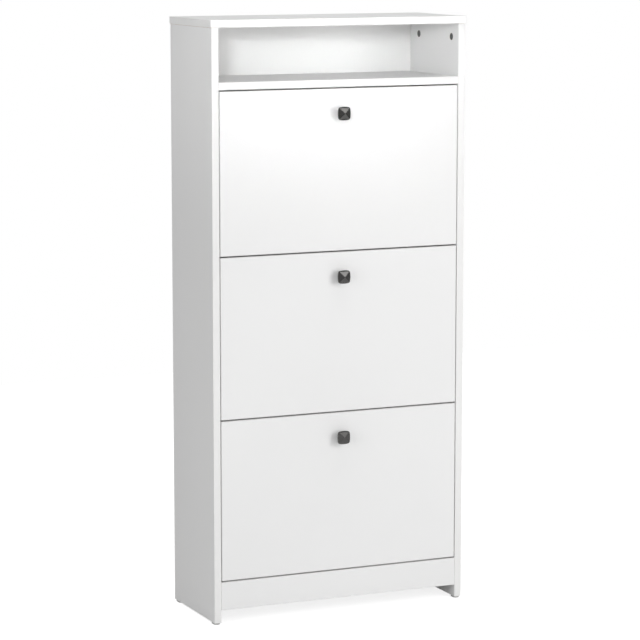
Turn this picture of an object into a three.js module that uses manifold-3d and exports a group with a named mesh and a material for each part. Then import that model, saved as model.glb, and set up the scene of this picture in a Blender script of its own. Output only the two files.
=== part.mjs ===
// A tall, shallow shoe cabinet of white-faced board, put together from flat panels.
// Three flaps, one above the other, tip forward on steel pivot pins. Above them is an open niche.
// Millimetres, +Z up. The front faces -Y. The origin is on the floor, at the middle of the whole box.
import * as THREE from "three";
import { mergeVertices } from "three/addons/utils/BufferGeometryUtils.js";
import Module from "manifold-3d";

const wasm = await Module();
wasm.setup();

// The carcass. Its front edges lie at y = 0 and its side panels' outer faces WIDTH apart.
const WIDTH = 600;
const DEPTH = 240;
const HEIGHT = 1310;
const BOARD = 16;
const BACK_SHEET = 3;
const BACK_INSET = 4;
const TOP_SIDE_OVERHANG = 2;
const TOP_FRONT_OVERHANG = 1;
const NICHE_HEIGHT = 116;
const PLINTH_LIFT = 32;
const PLINTH_HEIGHT = 62;
const RAIL_HEIGHT = 60;
const SEAT = 0.3; // joint line between pieces that are fastened together

// The flaps fill the front between the niche shelf and the plinth.
const FLAP_NAMES = ["bottom", "middle", "top"];
const FLAP_GAP = 3;
const FLAP_SIDE_GAP = 2;
const FLAP_BOARD = 12;
const CHEEK_INSET = 3; // cheek's outer face, from the flap's side edge
const CHEEK_LIFT = 6; // lower edges of the cheeks and the low shelf, above the flap's lower edge
const SWEEP_CLEARANCE = 6; // between the swinging cheek and the ceiling or the rear rail above it
const BACK_CLEARANCE = 10; // between the closed cheek and the back sheet
const SHELF_INSET = 6; // rear edge of the low shelf, in front of the cheek's
const MIDDLE_SHELF_LIFT = 175;
const MIDDLE_SHELF_DEPTH = 124;

// Pivots and stops.
const SWING_CLEARANCE = 0.6; // left of FLAP_GAP when the flap's lower corner passes under the axis
const OPEN_ANGLE = THREE.MathUtils.degToRad(45);
const PIN_RADIUS = 2.5;
const PIN_IN_FLAP = 25;
const PIN_TIP_GAP = 1;
const RUNNING_CLEARANCE = 0.08;
const BUSH_RADIUS = 4;
const BUSH_LENGTH = 12;
const BUSH_FLANGE_RADIUS = 6.5;
const BUSH_FLANGE_THICKNESS = 1;
const BUSH_FLOOR = 1.5;
const PEG_RADIUS = 4;
const PEG_IN_PANEL = 10;
const STOP_RADIUS = 150; // from the pivot axis to the stop peg's axis
const STOP_ANGLE = THREE.MathUtils.degToRad(70); // of the stop peg, above the level of the axis
const GROOVE_CLEARANCE = 0.6; // round the stop peg in the cheek's groove
const GROOVE_DEPTH = 7;

// Knob: a round stem that flares to a square head with a low four-sided point.
const KNOB_DROP = 53; // centre below the flap's upper edge
const KNOB_STEM_RADIUS = 6.5;
const KNOB_HALF = 14.75;
const KNOB_STEM_LENGTH = 11;
const KNOB_FLARE = 5;
const KNOB_RIM = 2.5;
const KNOB_BEVEL = 1;
const KNOB_POINT = 4.2;
const KNOB_SQUARENESS = 5.5;
const SCREW_RADIUS = 2;
const SCREW_HEAD_RADIUS = 4.5;
const SCREW_HEAD = 2.5;
const SCREW_IN_KNOB = 9;

// Cams in the niche's side walls, each drawing down one bolt of the top panel.
const CAM_RADIUS = 7.5;
const CAM_PAST_BOLT = 4; // the cam's inner end, past the bolt's axis
const CAM_DROP = 30; // centre below the top panel
const CAM_FRONT = 35; // centre from the front edge
const CAM_REAR = 43; // centre from the rear edge
const CAM_CROSS_LENGTH = 8;
const CAM_CROSS_WIDTH = 1.4;
const CAM_CROSS_DEPTH = 1.5;
const BOLT_RADIUS = 3;
const BOLT_IN_TOP = 11;

// Glides under the side panels: a tapered oblong pad with a stud driven into the board.
const GLIDE_HEIGHT = 4;
const GLIDE_LENGTH = 24;
const GLIDE_WIDTH = 14;
const GLIDE_TAPER = 1.2;
const GLIDE_EDGE = 14; // centre from the panel's front or rear edge, half a pad and a margin
const GLIDE_STUD_RADIUS = 1.6;
const GLIDE_STUD = 12;

// Sizes that follow.
const HOLE_GAP = SEAT;
const HALF_INNER = WIDTH / 2 - BOARD;
const CAM_LENGTH = BOARD / 2 + CAM_PAST_BOLT;
const TOP_UNDERSIDE = HEIGHT - BOARD;
const NICHE_FLOOR = TOP_UNDERSIDE - NICHE_HEIGHT;
const SHELF_UNDERSIDE = NICHE_FLOOR - BOARD;
const PLINTH_TOP = PLINTH_LIFT + PLINTH_HEIGHT;
const FLAP_ROOM = SHELF_UNDERSIDE - PLINTH_TOP - FLAP_GAP;
const FLAP_PITCH = FLAP_ROOM / FLAP_NAMES.length;
const FLAP_HEIGHT = FLAP_PITCH - FLAP_GAP;
const FLAP_WIDTH = 2 * (HALF_INNER - FLAP_SIDE_GAP);
const PIVOT_BACK = BOARD / 2; // in the middle of the flap front's thickness
const CORNER_DROP = FLAP_GAP - SWING_CLEARANCE;
const PIVOT_UP = (PIVOT_BACK ** 2 - CORNER_DROP ** 2) / (2 * CORNER_DROP);
const CEILING_RADIUS = FLAP_HEIGHT + FLAP_GAP - PIVOT_UP;
const RAIL_EDGE_UP = FLAP_HEIGHT + FLAP_GAP / 2 - RAIL_HEIGHT - PIVOT_UP;
const RAIL_RADIUS = Math.hypot(DEPTH - BOARD - PIVOT_BACK, RAIL_EDGE_UP);
const CHEEK_RADIUS = Math.min(CEILING_RADIUS, RAIL_RADIUS) - SWEEP_CLEARANCE;
const CHEEK_OUTER = FLAP_WIDTH / 2 - CHEEK_INSET;
const CHEEK_INNER = CHEEK_OUTER - FLAP_BOARD;
const CHEEK_FRONT = BOARD + SEAT;
const CHEEK_REAR = DEPTH - BACK_CLEARANCE;
const CHEEK_SIDE_GAP = HALF_INNER - CHEEK_OUTER;
const KNOB_HEAD_BACK = KNOB_STEM_LENGTH;
const KNOB_RIM_BACK = KNOB_HEAD_BACK + KNOB_FLARE;
const KNOB_RIM_FRONT = KNOB_RIM_BACK + KNOB_RIM;
const KNOB_FACE = KNOB_RIM_FRONT + KNOB_BEVEL;
const KNOB_LENGTH = KNOB_FACE + KNOB_POINT;
const REAR_FACE = DEPTH + SEAT + BACK_SHEET;
const FRONT_POINT = SEAT + KNOB_LENGTH;

const ROUND_SIDES = 20;
const ARC_STEPS = 16;
const KNOB_SIDES = 32;

// Materials
const white = new THREE.MeshStandardMaterial({ color: 0xf4f4f2, roughness: 0.45 });
const backWhite = new THREE.MeshStandardMaterial({ color: 0xecebe7, roughness: 0.6 });
const gunmetal = new THREE.MeshStandardMaterial({ color: 0x3b3a39, roughness: 0.35, metalness: 1 });
const zinc = new THREE.MeshStandardMaterial({ color: 0x4b4a48, roughness: 0.4, metalness: 1 });
const steel = new THREE.MeshStandardMaterial({ color: 0xb4b6b8, roughness: 0.35, metalness: 1 });
const plastic = new THREE.MeshStandardMaterial({ color: 0xd9d9d6, roughness: 0.5 });

// Takes the outline's x to +Y, its y to +Z and the thickness to +X.
const SIDEWAYS = new THREE.Matrix4().makeBasis(
  new THREE.Vector3(0, 1, 0),
  new THREE.Vector3(0, 0, 1),
  new THREE.Vector3(1, 0, 0),
);

// Closed solid of a geometry whose triangles enclose it.
function solidOf(geometry) {
  const bare = geometry.index ? geometry.toNonIndexed() : geometry.clone();
  bare.deleteAttribute("normal");
  bare.deleteAttribute("uv");
  const merged = mergeVertices(bare, 1e-4);
  const corners = merged.index.array;
  const triangles = [];
  for (let i = 0; i < corners.length; i += 3) {
    const [a, b, c] = [corners[i], corners[i + 1], corners[i + 2]];
    if (a !== b && b !== c && c !== a) triangles.push(a, b, c);
  }
  return new wasm.Manifold(
    new wasm.Mesh({
      numProp: 3,
      vertProperties: new Float32Array(merged.attributes.position.array),
      triVerts: new Uint32Array(triangles),
    }),
  );
}

function geometryOf(solid) {
  const mesh = solid.getMesh();
  const geometry = new THREE.BufferGeometry();
  geometry.setAttribute("position", new THREE.BufferAttribute(mesh.vertProperties, 3));
  geometry.setIndex(new THREE.BufferAttribute(mesh.triVerts, 1));
  return geometry;
}

// First geometry less all the others.
function cut(geometry, tools) {
  return geometryOf(tools.reduce((rest, tool) => rest.subtract(solidOf(tool)), solidOf(geometry)));
}

// Box between two corners.
function block(low, high) {
  const size = high.map((value, i) => value - low[i]);
  const centre = high.map((value, i) => (value + low[i]) / 2);
  return new THREE.BoxGeometry(...size).translate(...centre);
}

// Round bar along +X from x to x + length, centred on (y, z).
function barX(radius, x, length, y = 0, z = 0) {
  const bar = new THREE.CylinderGeometry(radius, radius, length, ROUND_SIDES);
  return bar.rotateZ(-Math.PI / 2).translate(x + length / 2, y, z);
}

// Round bar along +Y from y to y + length.
function barY(radius, y, length, x = 0, z = 0) {
  const bar = new THREE.CylinderGeometry(radius, radius, length, ROUND_SIDES);
  return bar.translate(x, y + length / 2, z);
}

// Round bar along +Z from z to z + length.
function barZ(radius, x, y, z, length) {
  const bar = new THREE.CylinderGeometry(radius, radius, length, ROUND_SIDES);
  return bar.rotateX(Math.PI / 2).translate(x, y, z + length / 2);
}

// Turned piece along +X. Its profile is a list of [distance along X, radius].
function turnedX(profile) {
  const outline = profile.map(([along, radius]) => new THREE.Vector2(radius, along));
  return new THREE.LatheGeometry(outline, ROUND_SIDES).rotateZ(-Math.PI / 2);
}

function place(parent, name, geometry, material, x = 0, y = 0, z = 0) {
  const mesh = new THREE.Mesh(geometry, material);
  mesh.name = name;
  mesh.position.set(x, y, z);
  parent.add(mesh);
}

// The stop peg's place, from the pivot axis.
const STOP_Y = STOP_RADIUS * Math.cos(STOP_ANGLE);
const STOP_Z = STOP_RADIUS * Math.sin(STOP_ANGLE);

const pivotHeights = FLAP_NAMES.map((name, i) => PLINTH_TOP + FLAP_GAP + i * FLAP_PITCH + PIVOT_UP);
const camDepths = [CAM_FRONT, DEPTH - CAM_REAR];
const glideDepths = [GLIDE_EDGE, DEPTH - GLIDE_EDGE];

// Right side panel. Its inner face is at x = 0 and its lower edge at z = GLIDE_HEIGHT.
function sidePanel() {
  const board = block([0, 0, GLIDE_HEIGHT + SEAT], [BOARD, DEPTH, TOP_UNDERSIDE - SEAT]);
  const camHeight = TOP_UNDERSIDE - CAM_DROP;
  const tools = [];
  for (const depth of camDepths) {
    tools.push(barX(CAM_RADIUS + HOLE_GAP, -1, CAM_LENGTH + HOLE_GAP + 1, depth, camHeight));
    tools.push(barZ(BOLT_RADIUS + HOLE_GAP, BOARD / 2, depth, camHeight, CAM_DROP));
  }
  for (const height of pivotHeights) {
    tools.push(barX(BUSH_RADIUS + HOLE_GAP, -1, BUSH_LENGTH + HOLE_GAP + 1, PIVOT_BACK, height));
    const pegHole = barX(PEG_RADIUS + HOLE_GAP, -1, PEG_IN_PANEL + HOLE_GAP + 1);
    tools.push(pegHole.translate(0, PIVOT_BACK + STOP_Y, height + STOP_Z));
  }
  for (const depth of glideDepths) {
    const length = GLIDE_HEIGHT + GLIDE_STUD + HOLE_GAP;
    tools.push(barZ(GLIDE_STUD_RADIUS + HOLE_GAP, BOARD / 2, depth, 0, length));
  }
  return cut(board, tools);
}

// Nail-on glide with its centre at x = 0, standing on z = 0.
function glide() {
  const half = GLIDE_WIDTH / 2 - GLIDE_TAPER;
  const reach = (GLIDE_LENGTH - GLIDE_WIDTH) / 2;
  const outline = new THREE.Shape();
  outline.absarc(0, reach, half, 0, Math.PI);
  outline.absarc(0, -reach, half, Math.PI, 2 * Math.PI);
  const pad = new THREE.ExtrudeGeometry(outline, {
    depth: GLIDE_HEIGHT - 2 * GLIDE_TAPER,
    curveSegments: ROUND_SIDES / 4,
    bevelThickness: GLIDE_TAPER,
    bevelSize: GLIDE_TAPER,
    bevelSegments: 1,
  });
  pad.translate(0, 0, GLIDE_TAPER);
  const stud = barZ(GLIDE_STUD_RADIUS, 0, 0, GLIDE_HEIGHT / 2, GLIDE_HEIGHT / 2 + GLIDE_STUD);
  return geometryOf(solidOf(pad).add(solidOf(stud)));
}

// Cam with its face at x = 0. A cross for the screwdriver is cut in the face.
// A slot from the top takes the end of the bolt.
function cam() {
  const half = CAM_CROSS_LENGTH / 2;
  const narrow = CAM_CROSS_WIDTH / 2;
  const slotHalf = BOLT_RADIUS + HOLE_GAP;
  return cut(barX(CAM_RADIUS, 0, CAM_LENGTH), [
    block([-1, -half, -narrow], [CAM_CROSS_DEPTH, half, narrow]),
    block([-1, -narrow, -half], [CAM_CROSS_DEPTH, narrow, half]),
    block([BOARD / 2 - slotHalf, -slotHalf, 0], [BOARD / 2 + slotHalf, slotHalf, CAM_RADIUS + 1]),
  ]);
}

// Bolt from inside the top panel down to the middle of its cam, with z = 0 at the cam's centre.
function camBolt() {
  return barZ(BOLT_RADIUS, 0, 0, HOLE_GAP, CAM_DROP + BOLT_IN_TOP - HOLE_GAP);
}

// Bush with its flange against x = 0 and its body beyond it. The bore is round the x axis.
function bush() {
  const boreRadius = (PIN_RADIUS + RUNNING_CLEARANCE) / Math.cos(Math.PI / ROUND_SIDES);
  const body = turnedX([
    [-SEAT - BUSH_FLANGE_THICKNESS, 0],
    [-SEAT - BUSH_FLANGE_THICKNESS, BUSH_FLANGE_RADIUS],
    [-SEAT, BUSH_FLANGE_RADIUS],
    [-SEAT, BUSH_RADIUS],
    [BUSH_LENGTH, BUSH_RADIUS],
    [BUSH_LENGTH, 0],
  ]);
  const start = -BUSH_FLANGE_THICKNESS - 1;
  return cut(body, [barX(boreRadius, start, BUSH_LENGTH - BUSH_FLOOR - start)]);
}

// Pivot pin, driven into the side edge of the flap's front at x = 0 and ending in the bush.
function pivotPin() {
  const tip = FLAP_SIDE_GAP + BUSH_LENGTH - BUSH_FLOOR - PIN_TIP_GAP;
  return barX(PIN_RADIUS, -PIN_IN_FLAP, PIN_IN_FLAP + tip);
}

// Stop peg: x = 0 is the side panel's inner face. The free end stays inside the cheek's groove.
function stopPeg() {
  const reach = CHEEK_SIDE_GAP + GROOVE_DEPTH - 2 * GROOVE_CLEARANCE;
  return barX(PEG_RADIUS, -reach, reach + PEG_IN_PANEL);
}

// Arc groove that the stop peg runs in, between the closed and the open flap.
function stopGroove() {
  const half = PEG_RADIUS + GROOVE_CLEARANCE;
  const from = STOP_ANGLE - OPEN_ANGLE;
  const outline = new THREE.Shape();
  outline.absarc(0, 0, STOP_RADIUS + half, from, STOP_ANGLE);
  outline.absarc(STOP_Y, STOP_Z, half, STOP_ANGLE, STOP_ANGLE + Math.PI);
  outline.absarc(0, 0, STOP_RADIUS - half, STOP_ANGLE, from, true);
  const end = [STOP_RADIUS * Math.cos(from), STOP_RADIUS * Math.sin(from)];
  outline.absarc(...end, half, from + Math.PI, from + 2 * Math.PI);
  const options = { depth: GROOVE_DEPTH + 1, bevelEnabled: false, curveSegments: ARC_STEPS / 2 };
  return new THREE.ExtrudeGeometry(outline, options).applyMatrix4(SIDEWAYS);
}

// Cheek of a flap: a board whose upper edge is an arc round the pivot axis, clear of the ceiling.
// x = 0 is its outer face and the board lies towards -x. The pivot axis is at y = z = 0.
function cheek() {
  const front = CHEEK_FRONT - PIVOT_BACK;
  const rear = CHEEK_REAR - PIVOT_BACK;
  const low = CHEEK_LIFT - PIVOT_UP;
  const outline = new THREE.Shape();
  outline.moveTo(front, low);
  outline.lineTo(rear, low);
  outline.absarc(0, 0, CHEEK_RADIUS, Math.acos(rear / CHEEK_RADIUS), Math.acos(front / CHEEK_RADIUS));
  outline.closePath();
  const options = { depth: FLAP_BOARD, bevelEnabled: false, curveSegments: ARC_STEPS };
  const board = new THREE.ExtrudeGeometry(outline, options).applyMatrix4(SIDEWAYS);
  board.translate(-FLAP_BOARD, 0, 0);
  return cut(board, [stopGroove().translate(-GROOVE_DEPTH, 0, 0)]);
}

// One ring of the knob: a circle for squareness 2, closer to a square above that.
function knobRing(half, squareness, distance) {
  const ring = [];
  for (let i = 0; i < KNOB_SIDES; i += 1) {
    const angle = (2 * Math.PI * i) / KNOB_SIDES;
    const [c, s] = [Math.cos(angle), Math.sin(angle)];
    const reach = half / (Math.abs(c) ** squareness + Math.abs(s) ** squareness) ** (1 / squareness);
    ring.push([reach * c, -distance, reach * s]);
  }
  return ring;
}

// Closed skin over rings from back to front, with a flat back and a point in front.
function knobSkin(rings, tip) {
  const corners = [];
  const last = rings.length - 1;
  for (let i = 0; i < KNOB_SIDES; i += 1) {
    const next = (i + 1) % KNOB_SIDES;
    corners.push([0, 0, 0], rings[0][next], rings[0][i]);
    for (let k = 0; k < last; k += 1) {
      const [a, b, c, d] = [rings[k][i], rings[k][next], rings[k + 1][next], rings[k + 1][i]];
      corners.push(a, b, c, a, c, d);
    }
    corners.push(rings[last][i], rings[last][next], tip);
  }
  const geometry = new THREE.BufferGeometry();
  return geometry.setAttribute("position", new THREE.Float32BufferAttribute(corners.flat(), 3));
}

// Knob with its back at y = 0, reaching towards -y.
function knob() {
  const neck = (KNOB_STEM_RADIUS + KNOB_HALF) / 2;
  const rings = [
    knobRing(KNOB_STEM_RADIUS, 2, 0),
    knobRing(KNOB_STEM_RADIUS, 2, KNOB_HEAD_BACK),
    knobRing(neck, (KNOB_SQUARENESS + 2) / 2, KNOB_HEAD_BACK + KNOB_FLARE / 3),
    knobRing(KNOB_HALF, KNOB_SQUARENESS, KNOB_RIM_BACK),
    knobRing(KNOB_HALF, KNOB_SQUARENESS, KNOB_RIM_FRONT),
    knobRing(KNOB_HALF - KNOB_BEVEL, KNOB_SQUARENESS, KNOB_FACE),
  ];
  const skin = knobSkin(rings, [0, -KNOB_LENGTH, 0]);
  const hole = barY(SCREW_RADIUS + HOLE_GAP, -SCREW_IN_KNOB - HOLE_GAP, SCREW_IN_KNOB + HOLE_GAP + 1);
  return cut(skin, [hole]);
}

// Screw through the flap's front into the knob. y = 0 is the flap front's inner face.
function knobScrew() {
  const shank = barY(SCREW_RADIUS, -BOARD - SEAT - SCREW_IN_KNOB, BOARD + SEAT + SCREW_IN_KNOB + 2 * SEAT);
  const head = barY(SCREW_HEAD_RADIUS, SEAT, SCREW_HEAD);
  return geometryOf(solidOf(shank).add(solidOf(head)));
}

// Front of a flap, standing on z = 0 with its face at y = 0.
function flapFront() {
  const half = FLAP_WIDTH / 2;
  const board = block([-half, 0, 0], [half, BOARD, FLAP_HEIGHT]);
  const tools = [barY(SCREW_RADIUS + HOLE_GAP, -1, BOARD + 2, 0, FLAP_HEIGHT - KNOB_DROP)];
  const length = PIN_IN_FLAP + HOLE_GAP + 1;
  for (const start of [-half - 1, half + 1 - length]) {
    tools.push(barX(PIN_RADIUS + HOLE_GAP, start, length, PIVOT_BACK, PIVOT_UP));
  }
  return cut(board, tools);
}

// Shelf between a flap's cheeks, from the flap's front back to a given depth.
function flapShelf(depth) {
  const half = CHEEK_INNER - SEAT;
  return block([-half, CHEEK_FRONT, 0], [half, CHEEK_FRONT + depth, FLAP_BOARD]);
}

function buildTop(cabinet) {
  const low = [-WIDTH / 2 - TOP_SIDE_OVERHANG, -TOP_FRONT_OVERHANG, TOP_UNDERSIDE];
  const high = [WIDTH / 2 + TOP_SIDE_OVERHANG, DEPTH, HEIGHT];
  const tools = [];
  for (const side of [-1, 1]) {
    for (const depth of camDepths) {
      const middle = side * (HALF_INNER + BOARD / 2);
      const length = BOLT_IN_TOP + HOLE_GAP + 1;
      tools.push(barZ(BOLT_RADIUS + HOLE_GAP, middle, depth, TOP_UNDERSIDE - 1, length));
    }
  }
  place(cabinet, "top_panel", cut(block(low, high), tools), white);
}

// Boards between the side panels, and the back sheet nailed over their rear edges.
function buildCrossPieces(cabinet) {
  const half = HALF_INNER - SEAT;
  place(cabinet, "niche_shelf", block([-half, 0, SHELF_UNDERSIDE], [half, DEPTH, NICHE_FLOOR]), white);
  place(cabinet, "plinth", block([-half, 0, PLINTH_LIFT], [half, BOARD, PLINTH_TOP]), white);
  const rail = block([-half, DEPTH - BOARD, -RAIL_HEIGHT], [half, DEPTH, 0]);
  place(cabinet, "rear_rail_low", rail, white, 0, 0, PLINTH_TOP);
  for (let i = 1; i < FLAP_NAMES.length; i += 1) {
    const joint = PLINTH_TOP + FLAP_GAP / 2 + i * FLAP_PITCH;
    place(cabinet, "rear_rail_under_" + FLAP_NAMES[i] + "_flap", rail.clone(), white, 0, 0, joint);
  }
  const low = [BACK_INSET - WIDTH / 2, DEPTH + SEAT, PLINTH_TOP - RAIL_HEIGHT + BACK_INSET];
  const high = [WIDTH / 2 - BACK_INSET, REAR_FACE, HEIGHT - BACK_INSET];
  place(cabinet, "back_sheet", block(low, high), backWhite);
}

// One side of the carcass, with x measured outwards from the middle.
function buildCarcassSide(half, name) {
  place(half, "side_panel_" + name, sidePanel(), white, HALF_INNER);
  const middle = HALF_INNER + BOARD / 2;
  const camHeight = TOP_UNDERSIDE - CAM_DROP;
  ["front", "rear"].forEach((end, i) => {
    place(half, "glide_" + end + "_" + name, glide(), plastic, middle, glideDepths[i]);
    place(half, "cam_" + end + "_" + name, cam(), zinc, HALF_INNER, camDepths[i], camHeight);
    place(half, "cam_bolt_" + end + "_" + name, camBolt(), steel, middle, camDepths[i], camHeight);
  });
  pivotHeights.forEach((height, i) => {
    const label = FLAP_NAMES[i] + "_" + name;
    place(half, "pivot_bush_" + label, bush(), plastic, HALF_INNER, PIVOT_BACK, height);
    place(half, "stop_peg_" + label, stopPeg(), steel, HALF_INNER, PIVOT_BACK + STOP_Y, height + STOP_Z);
  });
}

// A whole flap, standing on z = 0 with its front face at y = 0.
function buildFlap(name) {
  const flap = new THREE.Group();
  place(flap, name + "_flap_front", flapFront(), white);
  place(flap, name + "_flap_low_shelf", flapShelf(CHEEK_REAR - SHELF_INSET - CHEEK_FRONT), white, 0, 0, CHEEK_LIFT);
  place(flap, name + "_flap_middle_shelf", flapShelf(MIDDLE_SHELF_DEPTH), white, 0, 0, MIDDLE_SHELF_LIFT);
  place(flap, name + "_flap_knob", knob(), gunmetal, 0, -SEAT, FLAP_HEIGHT - KNOB_DROP);
  place(flap, name + "_flap_knob_screw", knobScrew(), steel, 0, BOARD, FLAP_HEIGHT - KNOB_DROP);
  for (const [label, side] of [["right", 1], ["left", -1]]) {
    const half = new THREE.Group();
    half.scale.x = side;
    flap.add(half);
    place(half, name + "_flap_cheek_" + label, cheek(), white, CHEEK_OUTER, PIVOT_BACK, PIVOT_UP);
    place(half, name + "_flap_pivot_pin_" + label, pivotPin(), steel, FLAP_WIDTH / 2, PIVOT_BACK, PIVOT_UP);
  }
  return flap;
}

function buildCabinet() {
  const cabinet = new THREE.Group();
  buildTop(cabinet);
  buildCrossPieces(cabinet);
  for (const [name, side] of [["right", 1], ["left", -1]]) {
    const half = new THREE.Group();
    half.scale.x = side;
    cabinet.add(half);
    buildCarcassSide(half, name);
  }
  FLAP_NAMES.forEach((name, i) => {
    const flap = buildFlap(name);
    flap.position.z = PLINTH_TOP + FLAP_GAP + i * FLAP_PITCH;
    cabinet.add(flap);
  });
  cabinet.position.y = (FRONT_POINT - REAR_FACE) / 2;
  return cabinet;
}

export default buildCabinet();
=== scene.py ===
# %% [markdown]
# # A flat-packed shoe cabinet
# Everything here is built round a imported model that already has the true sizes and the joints.
# That model is loaded first and is never moved. Each new piece takes its place from it, in metres,
# with +Z up, the front towards -Y and the middle of the cabinet at x = 0.

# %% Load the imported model
import math

import bmesh
import bpy
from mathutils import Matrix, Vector


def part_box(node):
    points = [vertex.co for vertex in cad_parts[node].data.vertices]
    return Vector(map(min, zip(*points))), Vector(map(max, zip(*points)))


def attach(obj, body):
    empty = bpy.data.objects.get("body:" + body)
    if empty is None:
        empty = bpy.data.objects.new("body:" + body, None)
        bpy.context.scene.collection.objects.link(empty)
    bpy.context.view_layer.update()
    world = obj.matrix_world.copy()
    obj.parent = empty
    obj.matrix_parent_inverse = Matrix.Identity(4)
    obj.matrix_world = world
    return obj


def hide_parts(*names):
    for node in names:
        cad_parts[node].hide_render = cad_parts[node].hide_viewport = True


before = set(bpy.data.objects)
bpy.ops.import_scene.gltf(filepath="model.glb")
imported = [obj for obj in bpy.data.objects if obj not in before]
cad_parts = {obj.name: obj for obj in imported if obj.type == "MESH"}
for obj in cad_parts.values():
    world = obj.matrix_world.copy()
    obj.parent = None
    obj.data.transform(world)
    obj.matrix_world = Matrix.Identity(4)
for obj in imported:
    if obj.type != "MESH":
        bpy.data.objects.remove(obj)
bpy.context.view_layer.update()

MM = 0.001
FLAPS = ["bottom", "middle", "top"]
SIDES = ["left", "right"]

# %% [markdown]
# ## The room
# The cabinet stands on a plain pale floor in a bright studio. The viewer looks slightly down on it
# from the left of its front, through a long lens that keeps the upright edges nearly parallel.
# The camera could be placed by three coordinates, but a bearing, a height angle and a distance
# from a point on the cabinet's middle line say plainly where a tripod would stand.

# %% Camera
AIM_HEIGHT = 0.639
BEARING = math.radians(-24.145)
HEIGHT_ANGLE = math.radians(8.491)
DISTANCE = 6.008
LENS = 152.11
SENSOR = 36.0

aim = Vector((0.0, 0.0, AIM_HEIGHT))
towards_camera = Vector((
    math.sin(BEARING) * math.cos(HEIGHT_ANGLE),
    -math.cos(BEARING) * math.cos(HEIGHT_ANGLE),
    math.sin(HEIGHT_ANGLE),
))
camera_data = bpy.data.cameras.new("studio_camera")
camera_data.lens = LENS
camera_data.sensor_width = SENSOR
camera = bpy.data.objects.new("studio_camera", camera_data)
bpy.context.scene.collection.objects.link(camera)
camera.location = aim + towards_camera * DISTANCE
camera.rotation_euler = (-towards_camera).to_track_quat("-Z", "Y").to_euler()
bpy.context.scene.camera = camera
print("camera at", [round(value, 3) for value in camera.location])

# %% [markdown]
# ## Hands
# Every piece is modelled as by hand: add a primitive at its size and place, select some faces or
# edges, and push them about with edit operators. A few helpers say that shortly. `alone` selects
# one object and nothing else. `pick` selects parts of its mesh by a test on their place or normal.
# `settle` bakes the object's place into its mesh, so that its origin stays at the world's.


# %% Selecting and settling
CLEAR_ANGLE = math.radians(30)


def nothing():
    """Leave edit mode and select no object."""
    if bpy.context.object is not None and bpy.context.object.mode != "OBJECT":
        bpy.ops.object.mode_set(mode="OBJECT")
    bpy.ops.object.select_all(action="DESELECT")


def alone(piece):
    """Make this the only selected object, in object mode."""
    nothing()
    piece.select_set(True)
    bpy.context.view_layer.objects.active = piece


def settle(piece):
    """Bake the object's place, turn and size into its mesh."""
    alone(piece)
    bpy.ops.object.transform_apply(location=True, rotation=True, scale=True)


def pick(piece, kind, test):
    """In edit mode, select only the vertices, edges or faces that pass a test."""
    if piece.mode != "EDIT":
        alone(piece)
        bpy.ops.object.mode_set(mode="EDIT")
    bpy.ops.mesh.select_mode(type=kind)
    bpy.ops.mesh.select_all(action="DESELECT")
    mesh = bmesh.from_edit_mesh(piece.data)
    for item in {"VERT": mesh.verts, "EDGE": mesh.edges, "FACE": mesh.faces}[kind]:
        if test(item):
            item.select_set(True)
    bmesh.update_edit_mesh(piece.data)


def centre(item):
    """Middle point of an edge or a face."""
    return sum((vertex.co for vertex in item.verts), Vector()) / len(item.verts)


def near(first, second, slack=1e-5):
    """Two lengths are the same within a hundredth of a millimetre."""
    return abs(first - second) < slack


def sharp(edge):
    """An edge where two faces meet at a clear angle."""
    return len(edge.link_faces) == 2 and edge.calc_face_angle(0) > CLEAR_ANGLE


print("hands: nothing, alone, settle, pick, centre, near, sharp")


# %% [markdown]
# ## Primitives to start from
# A board starts as a cube between two corners, and everything turned starts as a cylinder. A
# cylinder along x is a cylinder along z that is turned about y. None of these stays as it is.


# %% Blocks and rods
TURNS = {"X": (0, math.pi / 2, 0), "Y": (math.pi / 2, 0, 0), "Z": (0, 0, 0)}


def block(name, low, high):
    """A cube primitive between two corners."""
    nothing()
    low, high = Vector(low), Vector(high)
    bpy.ops.mesh.primitive_cube_add(size=1, location=(low + high) / 2)
    piece = bpy.context.object
    piece.name = name
    piece.scale = high - low
    settle(piece)
    return piece


def rod(name, place, radius, length, axis, sides=40):
    """A cylinder primitive along an axis, round a middle point."""
    nothing()
    bpy.ops.mesh.primitive_cylinder_add(
        vertices=sides, radius=radius, depth=length, location=place, rotation=TURNS[axis])
    piece = bpy.context.object
    piece.name = name
    settle(piece)
    return piece


print("primitives: block, rod")

# %% [markdown]
# ## Drilling and finishing
# Flat-pack boards arrive drilled. A boolean modifier cuts such a hole cleanly, and the cutter's own
# material lines it, so that raw chips show inside. At the end a piece is shaded smooth except at
# its corners, and its normals are weighted by area. A wide flat face then stays truly flat in the
# light although its edges are rounded.


# %% Cutting, shading and copying
SOFT_ANGLE = math.radians(50)


def apply_modifier(piece, kind, **settings):
    """Add a modifier, set it and apply it."""
    alone(piece)
    modifier = piece.modifiers.new(kind.lower(), kind)
    for key, value in settings.items():
        setattr(modifier, key, value)
    bpy.ops.object.modifier_apply(modifier=modifier.name)


def cut(piece, cutter):
    """Take the cutter away from the piece, and delete the cutter."""
    apply_modifier(piece, "BOOLEAN", operation="DIFFERENCE", solver="MANIFOLD", object=cutter,
                   material_mode="TRANSFER")
    bpy.data.objects.remove(cutter)


def fasten(piece, body, slot, *nodes, angle=SOFT_ANGLE):
    """Shade the piece, let it move with a body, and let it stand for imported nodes."""
    alone(piece)
    bpy.ops.object.shade_smooth_by_angle(angle=angle)
    apply_modifier(piece, "WEIGHTED_NORMAL", mode="FACE_AREA", keep_sharp=True)
    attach(piece, body)
    if nodes:
        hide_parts(*nodes)


def twin(piece, name, shift=(0, 0, 0)):
    """A copy with its own mesh, moved along."""
    alone(piece)
    bpy.ops.object.duplicate()
    copy = bpy.context.object
    copy.name = name
    copy.location = Vector(shift)
    settle(copy)
    return copy


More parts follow.
